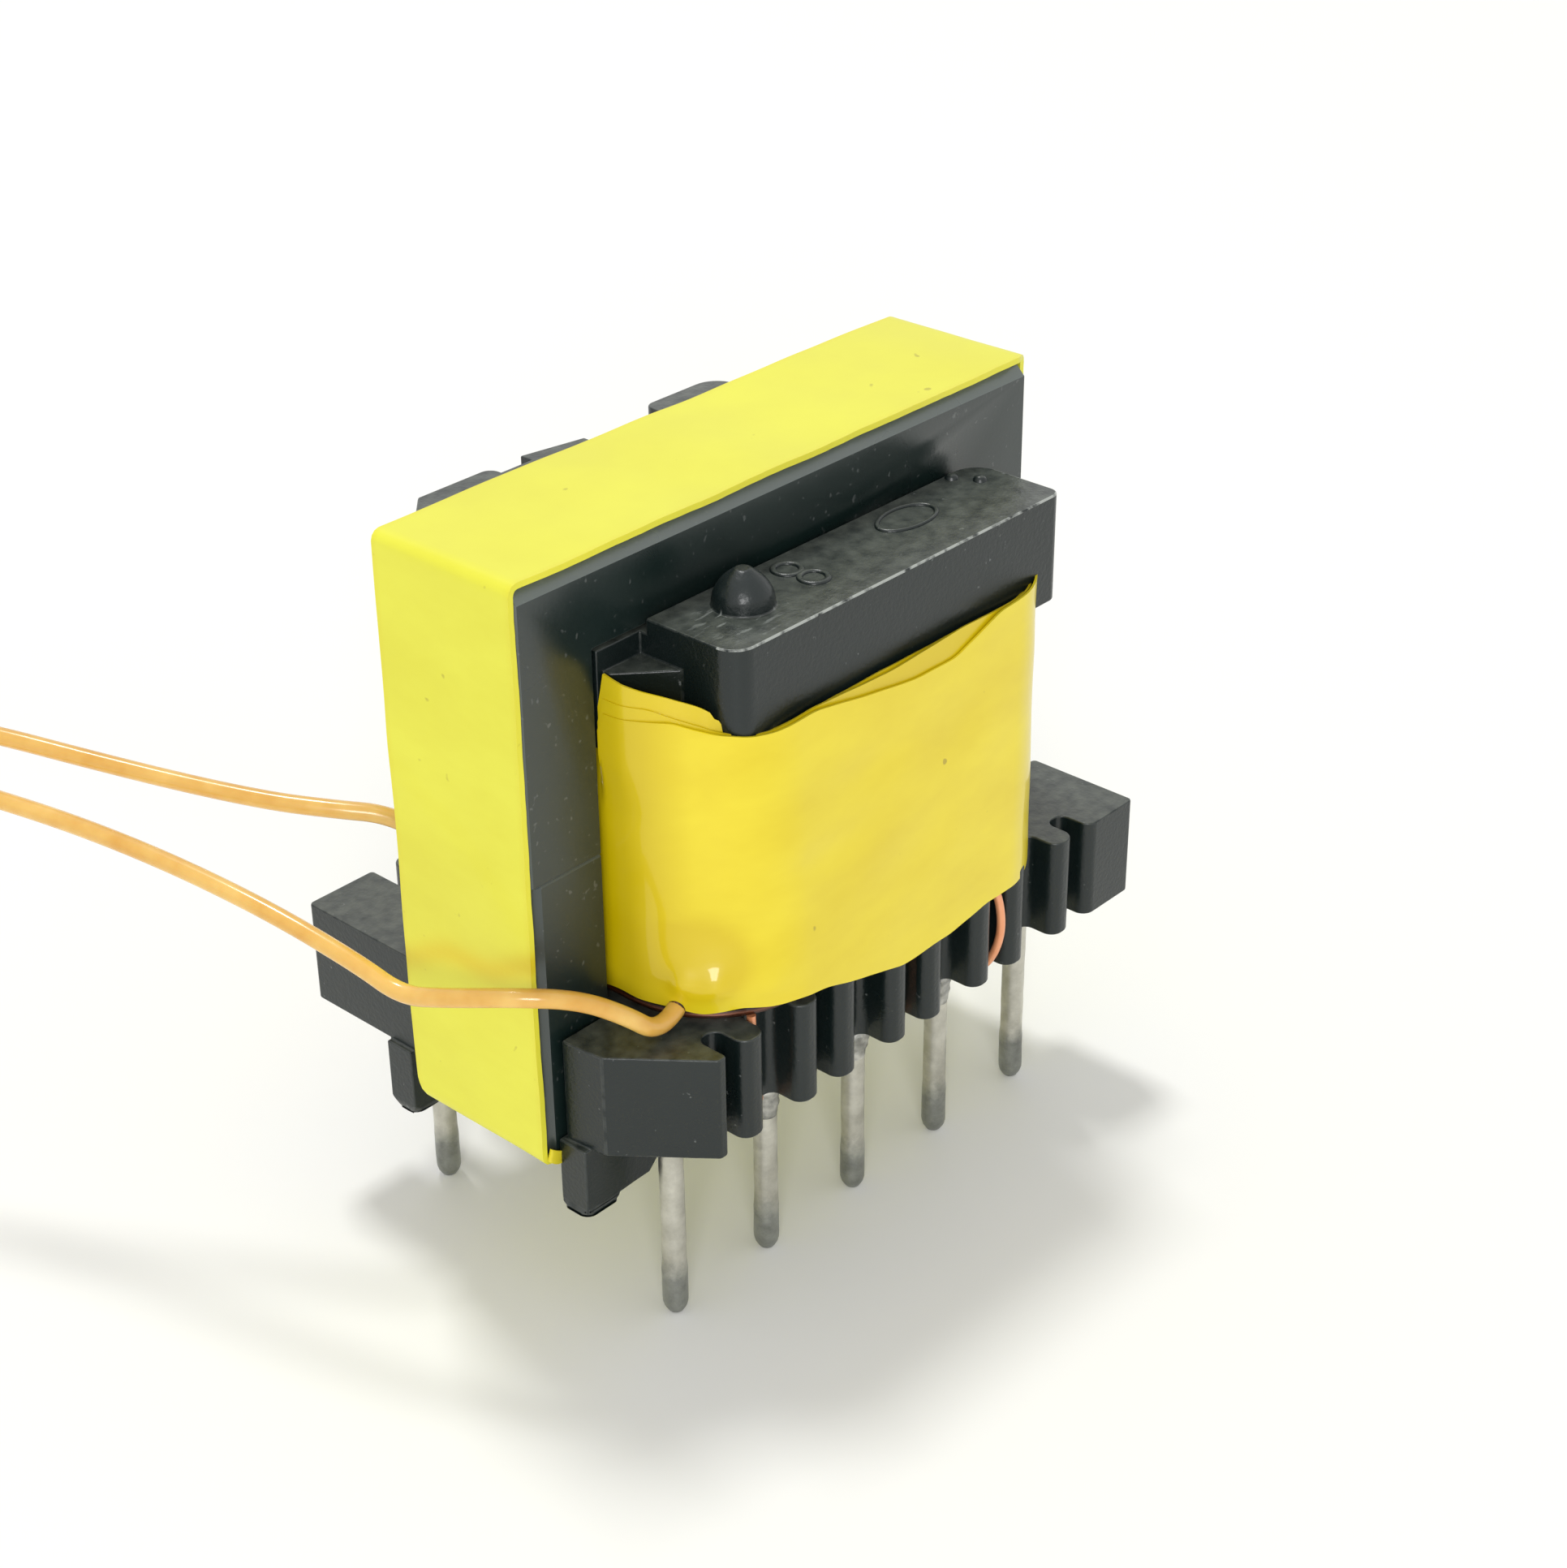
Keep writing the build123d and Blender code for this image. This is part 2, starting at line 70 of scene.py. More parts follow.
def addNode(tree, kind, settings=None, inputs=None):
    made = tree.nodes.new(kind)
    for name, value in (settings or {}).items():
        setattr(made, name, value)
    fillSockets(tree, made, inputs or {})
    return made


def newMaterial(name):
    material = bpy.data.materials.new(name)
    material.use_nodes = True
    tree = material.node_tree
    tree.nodes.clear()
    surface = addNode(tree, "ShaderNodeBsdfPrincipled")
    addNode(tree, "ShaderNodeOutputMaterial", inputs={"Surface": surface})
    place = addNode(tree, "ShaderNodeTexCoord").outputs["Object"]
    return material, tree, surface, place


def newPiece(name, data, material, slot, *nodes):
    piece = bpy.data.objects.new(name, data)
    bpy.context.scene.collection.objects.link(piece)
    piece.data.materials.clear()
    piece.data.materials.append(material)
    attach(piece, "root")
    if nodes:
        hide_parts(*nodes)
    return piece


def meshFrom(bm, name, sharpAngle=50, weighted=False):
    mesh = bpy.data.meshes.new(name)
    bm.to_mesh(mesh)
    mesh.shade_smooth()
    if weighted:
        # normals that follow the largest face at a corner, so that flat faces stay flat beside a bevel
        ways = [sum((f.normal * (f.calc_area() / mm ** 2) ** 2 for f in v.link_faces), Vector())
                for v in bm.verts]
        mesh.normals_split_custom_set_from_vertices([way.normalized() for way in ways])
    else:
        mesh.set_sharp_from_angle(angle=math.radians(sharpAngle))
    bm.free()
    return mesh


def nodeShape(node):
    # a copy of a carried over node, its loose triangles joined and its flat faces made whole
    bm = bmesh.new()
    bm.from_mesh(frame["nodes"][node].data)
    bmesh.ops.remove_doubles(bm, verts=bm.verts, dist=0.001 * mm)
    bmesh.ops.dissolve_limit(bm, angle_limit=math.radians(2), verts=bm.verts, edges=bm.edges)
    return bm


def sharpEdges(bm, angle=30):
    return [e for e in bm.edges if e.is_manifold and e.calc_face_angle(0) > math.radians(angle)]


def bevelEdges(bm, edges, width, segments):
    return bmesh.ops.bevel(bm, geom=edges, offset=width * mm, offset_type="OFFSET", affect="EDGES",
                           segments=segments, profile=0.5, material=-1, clamp_overlap=False)["faces"]


def turned(bm, profile, centre, steps):
    # a line of (radius, height) turned all round an upright axis, its poles closed
    line = [bm.verts.new(((centre[0] + r) * mm, centre[1] * mm, z * mm)) for r, z in profile]
    runs = [bm.edges.new(pair) for pair in zip(line, line[1:])]
    before = set(bm.verts) - set(line)
    bmesh.ops.spin(bm, geom=line + runs, cent=(centre[0] * mm, centre[1] * mm, 0), axis=(0, 0, 1),
                   angle=2 * math.pi, steps=steps, use_merge=True)
    points = [v for v in bm.verts if v not in before]
    bmesh.ops.remove_doubles(bm, verts=points, dist=0.0005 * mm)
    points = [v for v in bm.verts if v not in before]
    bmesh.ops.recalc_face_normals(bm, faces=list({f for v in points for f in v.link_faces}))
    return points


def loopPoint(share, halfX, halfY, radii):
    # a place on a rounded rectangle and the way outwards there, going round from the left
    runs = [halfY - radii[0], 2 * halfX - radii[0] - radii[1], 2 * halfY - radii[1] - radii[2],
            2 * halfX - radii[2] - radii[3], halfY - radii[3]]
    left = share * (sum(runs) + sum(radii) * math.pi / 2)
    place = Vector((-halfX, 0))
    for turn, run in enumerate(runs):
        heading = (turn - 1) * math.pi / 2
        ahead = Vector((math.cos(heading), math.sin(heading)))
        outward = Vector((ahead.y, -ahead.x))
        if left <= run or turn == 4:
            return place + ahead * left, outward
        left -= run
        centre = place + ahead * run - outward * radii[turn]
        if left <= radii[turn] * math.pi / 2:
            bend = left / radii[turn]
            outward = outward * math.cos(bend) + ahead * math.sin(bend)
            return centre + outward * radii[turn], outward
        left -= radii[turn] * math.pi / 2
        place = centre + ahead * radii[turn]


def wrappedSheet(bm, around, across, film, shape):
    # a grid closed into a band, each of its points placed by shape(share around, share across),
    # then given the thickness of the film inwards
    grid = bmesh.ops.create_grid(bm, x_segments=around, y_segments=across, size=0.5)["verts"]
    for point in grid:
        point.co = shape(point.co.x + 0.5, point.co.y + 0.5)
    faces = list({f for v in grid for f in v.link_faces})
    bmesh.ops.remove_doubles(bm, verts=grid, dist=0.0005 * mm)
    bm.normal_update()
    faces = [f for f in faces if f.is_valid]
    if max(faces, key=lambda f: f.calc_center_median().x).normal.x < 0:
        bmesh.ops.reverse_faces(bm, faces=faces)
    bmesh.ops.solidify(bm, geom=faces, thickness=film * mm)


def lineAt(table, value):
    # straight lines between the (place, height) pairs of a table, with their kinks eased
    total = 0.0
    for shift in (-0.16, 0.0, 0.16):
        here = min(max(value + shift, table[0][0]), table[-1][0])
        for (a, low), (b, high) in zip(table, table[1:]):
            if here <= b:
                total += low + (high - low) * (here - a) / (b - a)
                break
    return total / 3


def ripple(place, size):
    # smooth noise from -1 to 1 over a size in mm
    return noise.noise(Vector(place) / size)


def stray(way, *place):
    # how far something strays at a place; its way is the most that it does, and over what length
    return way[0] * ripple(place, way[1])


def bell(*offsets):
    # 1 where all the offsets are nought, next to nothing where one is past 2
    return math.exp(-sum(offset ** 2 for offset in offsets))


# camera

camera = {
    "place": (-49.04, -46.75, 49.89),  # mm
    "turn": (60.38, 0.50, -47.91),  # degrees
    "lens": 65.43,
}

lensData = bpy.data.cameras.new("camera")
lensData.lens = camera["lens"]
lensData.clip_start = 0.001
cameraObject = bpy.data.objects.new("camera", lensData)
cameraObject.location = [c * mm for c in camera["place"]]
cameraObject.rotation_euler = [math.radians(a) for a in camera["turn"]]
bpy.context.scene.collection.objects.link(cameraObject)
bpy.context.scene.camera = cameraObject
print("camera in place")


# materials

insulationFinish = {
    "colours": ("#D8A245", "#E8BE66"),
    "patchSize": 1.1111,  # mm
    "bleed": (0.4, 0.2, 0.05),  # mm that red, green and blue light travel under the skin
    "waveDepth": 0.03,  # mm
}


def wireInsulation():
    # extruded fluoropolymer over copper: smooth, glossy, slightly milky amber
    finish = insulationFinish
    material, tree, surface, place = newMaterial("extrudedWireInsulation")
    patches = addNode(tree, "ShaderNodeTexNoise", inputs={
        "Vector": place, "Scale": 1 / (finish["patchSize"] * mm), "Detail": 3.0})
    share = addNode(tree, "ShaderNodeMapRange", inputs={"Value": patches, "From Min": 0.3, "From Max": 0.7})
    colour = addNode(tree, "ShaderNodeMix", {"data_type": "RGBA"}, {
        0: share, 6: srgb(finish["colours"][0]), 7: srgb(finish["colours"][1])})
    waves = addNode(tree, "ShaderNodeBump", inputs={
        "Height": patches, "Strength": 0.3, "Distance": finish["waveDepth"] * mm})
    fillSockets(tree, surface, {
        "Base Color": colour, "Roughness": 0.26, "IOR": 1.42, "Normal": waves,
        "Coat Weight": 0.5, "Coat Roughness": 0.12, "Subsurface Weight": 0.15,
        "Subsurface Radius": [c * mm for c in finish["bleed"]], "Subsurface Scale": 1.0})
    return material


dippedTinFinish = {
    "colours": ("#A9A59A", "#D8D6CE"),
    "waveSize": 0.6667,  # mm
    "waveDepth": 0.02,  # mm
}


def tinnedWire():
    # copper under hot dipped tin: bright, a little wavy
    finish = dippedTinFinish
    material, tree, surface, place = newMaterial("dippedTinOnCopper")
    waves = addNode(tree, "ShaderNodeTexNoise", inputs={
        "Vector": place, "Scale": 1 / (finish["waveSize"] * mm), "Detail": 4.0})
    colour = addNode(tree, "ShaderNodeMix", {"data_type": "RGBA"}, {
        0: waves, 6: srgb(finish["colours"][0]), 7: srgb(finish["colours"][1])})
    dullness = addNode(tree, "ShaderNodeMapRange", inputs={
        "Value": waves, "From Min": 0.3, "From Max": 0.7, "To Min": 0.22, "To Max": 0.42})
    relief = addNode(tree, "ShaderNodeBump", inputs={
        "Height": waves, "Strength": 0.3, "Distance": finish["waveDepth"] * mm})
    fillSockets(tree, surface, {
        "Base Color": colour, "Metallic": 1.0, "Roughness": dullness, "Normal": relief})
    return material


phenolicFinish = {
    "colours": ("#0A1413", "#151F1F"),
    "cloudSize": 2.8571,  # mm
    "grainSize": 0.1111,  # mm, twice as coarse as the filler so that it shows
    "grainDepth": 0.02,
    "speck": ("#5D6160", 0.2381),  # its colour, and its size in mm
    "flash": ("#A4A8A3", 0.3846),  # colour of the rubbed edges, and the size of their ragged gaps
    "scuff": {"colour": "#8B908D", "centre": (-4.2, -4.3, 19.4), "reach": (0.4, 1.5), "size": 0.5263,
              "belowHeight": (19.4, 19.5)},
    # a pale veil on upward faces: painted sheen with a little dust
    "dustAndSheen": {"colour": "#8E9489", "share": (0.08, 0.3), "belowHeight": (19.45, 19.6)},
}


def mouldedPhenolic():
    # glass filled phenolic from a steel mould: black, a satin skin with fine grain, edges whitened
    # by flash and rubbing, a little pale dust and painted sheen on the faces that look up
    finish = phenolicFinish
    material, tree, surface, place = newMaterial("mouldedPhenolic")
    height = addNode(tree, "ShaderNodeSeparateXYZ", inputs={0: place}).outputs["Z"]
    clouds = addNode(tree, "ShaderNodeTexNoise", inputs={
        "Vector": place, "Scale": 1 / (finish["cloudSize"] * mm), "Detail": 5.0})
    grain = addNode(tree, "ShaderNodeTexNoise", inputs={
        "Vector": place, "Scale": 1 / (finish["grainSize"] * mm), "Detail": 3.0})
    colour = addNode(tree, "ShaderNodeMix", {"data_type": "RGBA"}, {
        0: clouds, 6: srgb(finish["colours"][0]), 7: srgb(finish["colours"][1])})
    # specks of filler that reach the skin
    filler = addNode(tree, "ShaderNodeTexNoise", inputs={
        "Vector": place, "Scale": 1 / (finish["speck"][1] * mm), "Detail": 2.0})
    specks = addNode(tree, "ShaderNodeMapRange", inputs={
        "Value": filler, "From Min": 0.72, "From Max": 0.78})
    colour = addNode(tree, "ShaderNodeMix", {"data_type": "RGBA"}, {
        0: specks, 6: colour, 7: srgb(finish["speck"][0])})
    # flash and wear along the edges, broken up
    rubbed = addNode(tree, "ShaderNodeTexNoise", inputs={
        "Vector": place, "Scale": 1 / (finish["flash"][1] * mm), "Detail": 4.0})
    ragged = addNode(tree, "ShaderNodeMapRange", inputs={
        "Value": rubbed, "From Min": 0.36, "From Max": 0.52})
    atEdge = addNode(tree, "ShaderNodeAttribute", {"attribute_name": "edgeWear"}).outputs["Fac"]
    worn = addNode(tree, "ShaderNodeMath", {"operation": "MULTIPLY"}, {0: ragged, 1: atEdge})
    colour = addNode(tree, "ShaderNodeMix", {"data_type": "RGBA"}, {
        0: worn, 6: colour, 7: srgb(finish["flash"][0])})
    # fine scratches on the top of the block, round the pip
    scuff = finish["scuff"]
    away = addNode(tree, "ShaderNodeVectorMath", {"operation": "DISTANCE"}, {
        0: place, 1: [c * mm for c in scuff["centre"]]}).outputs["Value"]
    drawnOut = addNode(tree, "ShaderNodeMapping", inputs={
        "Vector": place, "Rotation": (0, 0, 0.6), "Scale": (1.0, 4.0, 1.0)})
    lines = addNode(tree, "ShaderNodeTexNoise", inputs={
        "Vector": drawnOut, "Scale": 1 / (scuff["size"] * mm), "Detail": 3.0})
    scratches = addNode(tree, "ShaderNodeMapRange", inputs={
        "Value": lines, "From Min": 0.58, "From Max": 0.66})
    near = addNode(tree, "ShaderNodeMapRange", inputs={
        "Value": away, "From Min": scuff["reach"][0] * mm, "From Max": scuff["reach"][1] * mm,
        "To Min": 0.7, "To Max": 0.0})
    low = addNode(tree, "ShaderNodeMapRange", inputs={
        "Value": height, "From Min": scuff["belowHeight"][0] * mm,
        "From Max": scuff["belowHeight"][1] * mm, "To Min": 1.0, "To Max": 0.0})
    scuffed = addNode(tree, "ShaderNodeMath", {"operation": "MULTIPLY"}, {0: scratches, 1: near})
    scuffed = addNode(tree, "ShaderNodeMath", {"operation": "MULTIPLY"}, {0: scuffed, 1: low})
    colour = addNode(tree, "ShaderNodeMix", {"data_type": "RGBA"}, {
        0: scuffed, 6: colour, 7: srgb(scuff["colour"])})
    # a pale veil on the faces that look up, painted sheen of the light from above mixed with a little dust,
    # but not on the pip
    dustAndSheen = finish["dustAndSheen"]
    facing = addNode(tree, "ShaderNodeNewGeometry").outputs["Normal"]
    upward = addNode(tree, "ShaderNodeSeparateXYZ", inputs={0: facing}).outputs["Z"]
    level = addNode(tree, "ShaderNodeMapRange", inputs={"Value": upward, "From Min": 0.7, "From Max": 0.95})
    patchy = addNode(tree, "ShaderNodeMapRange", inputs={
        "Value": rubbed, "From Min": 0.3, "From Max": 0.7,
        "To Min": dustAndSheen["share"][0], "To Max": dustAndSheen["share"][1]})
    low = addNode(tree, "ShaderNodeMapRange", inputs={
        "Value": height, "From Min": dustAndSheen["belowHeight"][0] * mm,
        "From Max": dustAndSheen["belowHeight"][1] * mm, "To Min": 1.0, "To Max": 0.0})
    veil = addNode(tree, "ShaderNodeMath", {"operation": "MULTIPLY"}, {0: level, 1: patchy})
    veil = addNode(tree, "ShaderNodeMath", {"operation": "MULTIPLY"}, {0: veil, 1: low})
    colour = addNode(tree, "ShaderNodeMix", {"data_type": "RGBA"}, {
        0: veil, 6: colour, 7: srgb(dustAndSheen["colour"])})
    dullness = addNode(tree, "ShaderNodeMapRange", inputs={
        "Value": clouds, "From Min": 0.3, "From Max": 0.7, "To Min": 0.26, "To Max": 0.36})
    relief = addNode(tree, "ShaderNodeBump", inputs={
        "Height": grain, "Strength": 0.5, "Distance": finish["grainDepth"] * mm})
    fillSockets(tree, surface, {
        "Base Color": colour, "Roughness": dullness, "IOR": 1.5, "Normal": relief})
    return material


ferriteFinish = {
    "colours": ("#0D1A18", "#182725"),
    "cloudSize": 4.5455,  # mm
    "grainSize": 0.125,  # mm, coarser than the sintered grain so that it shows
    "grainDepth": 0.01,
    "pit": ("#4A4F4E", 0.1923),  # colour, and size in mm
    "groundEdge": "#646D6A",
}


def groundFerrite():
    # sintered manganese zinc ferrite, ground on its faces: dense, dark grey, a glassy sheen
    finish = ferriteFinish
    material, tree, surface, place = newMaterial("groundFerrite")
    clouds = addNode(tree, "ShaderNodeTexNoise", inputs={
        "Vector": place, "Scale": 1 / (finish["cloudSize"] * mm), "Detail": 4.0})
    grain = addNode(tree, "ShaderNodeTexNoise", inputs={
        "Vector": place, "Scale": 1 / (finish["grainSize"] * mm), "Detail": 2.0})
    hollows = addNode(tree, "ShaderNodeTexNoise", inputs={
        "Vector": place, "Scale": 1 / (finish["pit"][1] * mm), "Detail": 1.0})
    pits = addNode(tree, "ShaderNodeMapRange", inputs={"Value": hollows, "From Min": 0.70, "From Max": 0.78})
    atEdge = addNode(tree, "ShaderNodeAttribute", {"attribute_name": "edgeWear"}).outputs["Fac"]
    colour = addNode(tree, "ShaderNodeMix", {"data_type": "RGBA"}, {
        0: clouds, 6: srgb(finish["colours"][0]), 7: srgb(finish["colours"][1])})
    colour = addNode(tree, "ShaderNodeMix", {"data_type": "RGBA"}, {
        0: pits, 6: colour, 7: srgb(finish["pit"][0])})
    colour = addNode(tree, "ShaderNodeMix", {"data_type": "RGBA"}, {
        0: atEdge, 6: colour, 7: srgb(finish["groundEdge"])})
    dullness = addNode(tree, "ShaderNodeMapRange", inputs={
        "Value": clouds, "From Min": 0.3, "From Max": 0.7, "To Min": 0.24, "To Max": 0.36})
    relief = addNode(tree, "ShaderNodeBump", inputs={
        "Height": grain, "Strength": 0.25, "Distance": finish["grainDepth"] * mm})
    fillSockets(tree, surface, {
        "Base Color": colour, "Roughness": dullness, "IOR": 1.7, "Normal": relief})
    return material


tapeFinish = {
    "flatten": 2.2,  # how much lower than wide its clouds and waves are
    "cloudSize": 5.2632,  # mm
    "waveSize": 2.0833,
    "waveDepth": 0.05,
    "speckSize": 0.4348,
    "core": {"name": "polyesterCoreTape", "pale": "#E6E445", "deep": "#E0DC3A", "golden": "#DDC820",
             "stain": "#A89A2A", "gloss": 0.08},
    "winding": {"name": "polyesterWindingTape", "pale": "#E9D522", "deep": "#E0C90F",
                "golden": "#D6BC00", "stain": "#8E7414", "gloss": 0.5},
}


def polyesterTape(tape):
    # coloured adhesive under a clear polyester film: bright, smooth, faintly rippled, with
    # deeper yellow in places: painted shade, a painted reflection, the film's edges and a patch over the
    # lead's root
    finish = tapeFinish
    material, tree, surface, place = newMaterial(tape["name"])
    flat = addNode(tree, "ShaderNodeMapping", inputs={
        "Vector": place, "Scale": (1.0, 1.0, finish["flatten"])})
    clouds = addNode(tree, "ShaderNodeTexNoise", inputs={
        "Vector": flat, "Scale": 1 / (finish["cloudSize"] * mm), "Detail": 4.0, "Roughness": 0.6})
    waves = addNode(tree, "ShaderNodeTexNoise", inputs={
        "Vector": flat, "Scale": 1 / (finish["waveSize"] * mm), "Detail": 3.0})
    dirt = addNode(tree, "ShaderNodeTexNoise", inputs={
        "Vector": place, "Scale": 1 / (finish["speckSize"] * mm), "Detail": 1.0})
    share = addNode(tree, "ShaderNodeMapRange", inputs={"Value": clouds, "From Min": 0.36, "From Max": 0.66})
    specks = addNode(tree, "ShaderNodeMapRange", inputs={
        "Value": dirt, "From Min": 0.77, "From Max": 0.82, "To Max": 0.6})
    # the tint attribute mixes in the golden colour: painted shade and a painted reflection, with some real
    # deeper yellow
    depth = addNode(tree, "ShaderNodeAttribute", {"attribute_name": "tintAndPaintedShade"}).outputs["Fac"]
    colour = addNode(tree, "ShaderNodeMix", {"data_type": "RGBA"}, {
        0: share, 6: srgb(tape["deep"]), 7: srgb(tape["pale"])})
    colour = addNode(tree, "ShaderNodeMix", {"data_type": "RGBA"}, {
        0: depth, 6: colour, 7: srgb(tape["golden"])})
    colour = addNode(tree, "ShaderNodeMix", {"data_type": "RGBA"}, {
        0: specks, 6: colour, 7: srgb(tape["stain"])})
    dullness = addNode(tree, "ShaderNodeMapRange", inputs={
        "Value": clouds, "From Min": 0.3, "From Max": 0.7, "To Min": 0.34, "To Max": 0.46})
    relief = addNode(tree, "ShaderNodeBump", inputs={
        "Height": waves, "Strength": 0.15, "Distance": finish["waveDepth"] * mm})
    fillSockets(tree, surface, {
        "Base Color": colour, "Roughness": dullness, "IOR": 1.42, "Coat Weight": tape["gloss"],
        "Coat Roughness": 0.05, "Normal": relief})
    return material


enamelFinish = {
    "colours": ("#E08650", "#F6B488"),
    "patchSize": 0.8333,  # mm
}


def enamelledCopper():
    # copper drawn round and coated with clear enamel: a salmon glow with a bright line along it
    finish = enamelFinish
    material, tree, surface, place = newMaterial("enamelledCopper")
    patches = addNode(tree, "ShaderNodeTexNoise", inputs={
        "Vector": place, "Scale": 1 / (finish["patchSize"] * mm), "Detail": 3.0})
    colour = addNode(tree, "ShaderNodeMix", {"data_type": "RGBA"}, {
        0: patches, 6: srgb(finish["colours"][0]), 7: srgb(finish["colours"][1])})
    fillSockets(tree, surface, {
        "Base Color": colour, "Metallic": 0.2, "Roughness": 0.32, "Coat Weight": 0.6})
    return material


shadedWindingFinish = {
    # dark browns: painted shade under the tape, darker than the copper's own colour
    "colours": ("#1C0D08", "#6A3A22"),
    "turn": 0.25,  # mm from one turn of wire to the next
    "waveUnit": 0.314,  # scale of a wave texture whose bands lie one unit apart
    "ridgeDepth": 0.08,  # mm
}


def shadedTurnsOfWire():
    # enamelled copper wound side by side: fine level ridges, one to each turn, in dark browns that paint the
    # shade under the tape
    finish = shadedWindingFinish
    material, tree, surface, place = newMaterial("woundCopperInPaintedShade")
    turns = addNode(tree, "ShaderNodeTexWave", {"bands_direction": "Z"}, {
        "Vector": place, "Scale": finish["waveUnit"] / (finish["turn"] * mm), "Distortion": 0.6,
        "Detail": 1.0}).outputs["Fac"]
    colour = addNode(tree, "ShaderNodeMix", {"data_type": "RGBA"}, {
        0: turns, 6: srgb(finish["colours"][0]), 7: srgb(finish["colours"][1])})
    ridges = addNode(tree, "ShaderNodeBump", inputs={
        "Height": turns, "Strength": 0.8, "Distance": finish["ridgeDepth"] * mm})
    fillSockets(tree, surface, {
        "Base Color": colour, "Metallic": 0.5, "Roughness": 0.34, "Coat Weight": 0.6, "Normal": ridges})
    return material


pinFinish = {
    "upperTone": ("#B8B6AB", "#D2D0C5"),
    "lowerTone": ("#868884", "#A4A6A0"),
    "lowerEndHeight": (1.6, 2.3),  # mm, between which the paler upper tone takes over from the darker lower end
    "lowerEndWander": 0.8,
    "cloudSize": 0.7692,
    "cloudDepth": 0.02,
}


def tinPlatedSteel():
    # tin over steel wire, paler above and darker towards the lower end
    finish = pinFinish
    material, tree, surface, place = newMaterial("tinPlatedSteel")
    clouds = addNode(tree, "ShaderNodeTexNoise", inputs={
        "Vector": place, "Scale": 1 / (finish["cloudSize"] * mm), "Detail": 5.0, "Roughness": 0.7})
    height = addNode(tree, "ShaderNodeSeparateXYZ", inputs={0: place}).outputs["Z"]
    wandering = addNode(tree, "ShaderNodeMath", {"operation": "MULTIPLY_ADD"}, {
        0: clouds, 1: finish["lowerEndWander"] * mm, 2: height})
    lowerShare = addNode(tree, "ShaderNodeMapRange", inputs={
        "Value": wandering, "From Min": finish["lowerEndHeight"][0] * mm,
        "From Max": finish["lowerEndHeight"][1] * mm, "To Min": 1.0, "To Max": 0.0})
    share = addNode(tree, "ShaderNodeMapRange", inputs={"Value": clouds, "From Min": 0.35, "From Max": 0.65})
    upperTone = addNode(tree, "ShaderNodeMix", {"data_type": "RGBA"}, {
        0: share, 6: srgb(finish["upperTone"][0]), 7: srgb(finish["upperTone"][1])})
    lowerTone = addNode(tree, "ShaderNodeMix", {"data_type": "RGBA"}, {
        0: share, 6: srgb(finish["lowerTone"][0]), 7: srgb(finish["lowerTone"][1])})
    colour = addNode(tree, "ShaderNodeMix", {"data_type": "RGBA"}, {0: lowerShare, 6: upperTone, 7: lowerTone})
    dullness = addNode(tree, "ShaderNodeMapRange", inputs={
        "Value": clouds, "From Min": 0.3, "From Max": 0.7, "To Min": 0.32, "To Max": 0.52})
    relief = addNode(tree, "ShaderNodeBump", inputs={
        "Height": clouds, "Strength": 0.2, "Distance": finish["cloudDepth"] * mm})
    fillSockets(tree, surface, {
        "Base Color": colour, "Metallic": 1.0, "Roughness": dullness, "Normal": relief})
    return material


solderFinish = {
    "colours": ("#6E6F6C", "#D9D8D2"),
    "skinSize": 0.5263,  # mm
    "skinDepth": 0.03,
}


def solderedTin():
    # tin solder set on wire turns: bright, lumpy, with dull grey skin in places
    finish = solderFinish
    material, tree, surface, place = newMaterial("solderedTin")
    skin = addNode(tree, "ShaderNodeTexNoise", inputs={
        "Vector": place, "Scale": 1 / (finish["skinSize"] * mm), "Detail": 5.0})
    share = addNode(tree, "ShaderNodeMapRange", inputs={"Value": skin, "From Min": 0.35, "From Max": 0.65})
    colour = addNode(tree, "ShaderNodeMix", {"data_type": "RGBA"}, {
        0: share, 6: srgb(finish["colours"][0]), 7: srgb(finish["colours"][1])})
    dullness = addNode(tree, "ShaderNodeMapRange", inputs={
        "Value": skin, "From Min": 0.3, "From Max": 0.7, "To Min": 0.2, "To Max": 0.45})
    relief = addNode(tree, "ShaderNodeBump", inputs={
        "Height": skin, "Strength": 0.5, "Distance": finish["skinDepth"] * mm})
    fillSockets(tree, surface, {
        "Base Color": colour, "Metallic": 1.0, "Roughness": dullness, "Normal": relief})
    return material


finishes = {
    "insulated_wire": wireInsulation(),
    "tinned_copper": tinnedWire(),
    "phenolic": mouldedPhenolic(),
    "ferrite": groundFerrite(),
    "polyester_tape": polyesterTape(tapeFinish["core"]),
    "enamelled_copper": enamelledCopper(),
    "tinned_steel": tinPlatedSteel(),
    "solder": solderedTin(),
}
windingFilm = polyesterTape(tapeFinish["winding"])
shadedWoundWire = shadedTurnsOfWire()
print("materials made")


# fly leads

flyLead = {
    "diameter": 0.5,  # mm
    "front": {
        "exit": (-6.65, -4.33, 9.34),
        "length": 0.0316,  # m
        "path": [(0, 0, 0), (-0.80, -0.19, -0.28), (-1.70, 0.10, 0.60), (-2.75, 0.62, 1.36),
                 (-3.95, 1.55, 1.62), (-4.80, 3.25, 1.28), (-5.10, 4.55, 0.92), (-5.45, 5.75, 1.55),
                 (-6.10, 8.60, 2.35), (-6.85, 12.30, 2.85), (-7.75, 16.40, 3.05), (-9.95, 22.00, 3.55),
                 (-11.65, 26.90, 3.40)],
    },
    "back": {
        "exit": (-6.65, 4.33, 9.34),
        "length": 0.032,  # m
        "path": [(0, 0, 0), (-1.15, -0.05, 0.00), (-1.10, -0.75, 1.00), (-1.10, -0.78, 2.50),
                 (-1.85, -0.05, 3.20), (-2.75, 0.90, 3.36), (-3.85, 2.45, 3.52), (-5.40, 5.50, 3.85),
                 (-8.10, 10.60, 4.75), (-10.50, 15.40, 4.65), (-12.10, 20.00, 4.95), (-13.30, 24.40, 4.75)],
    },
}


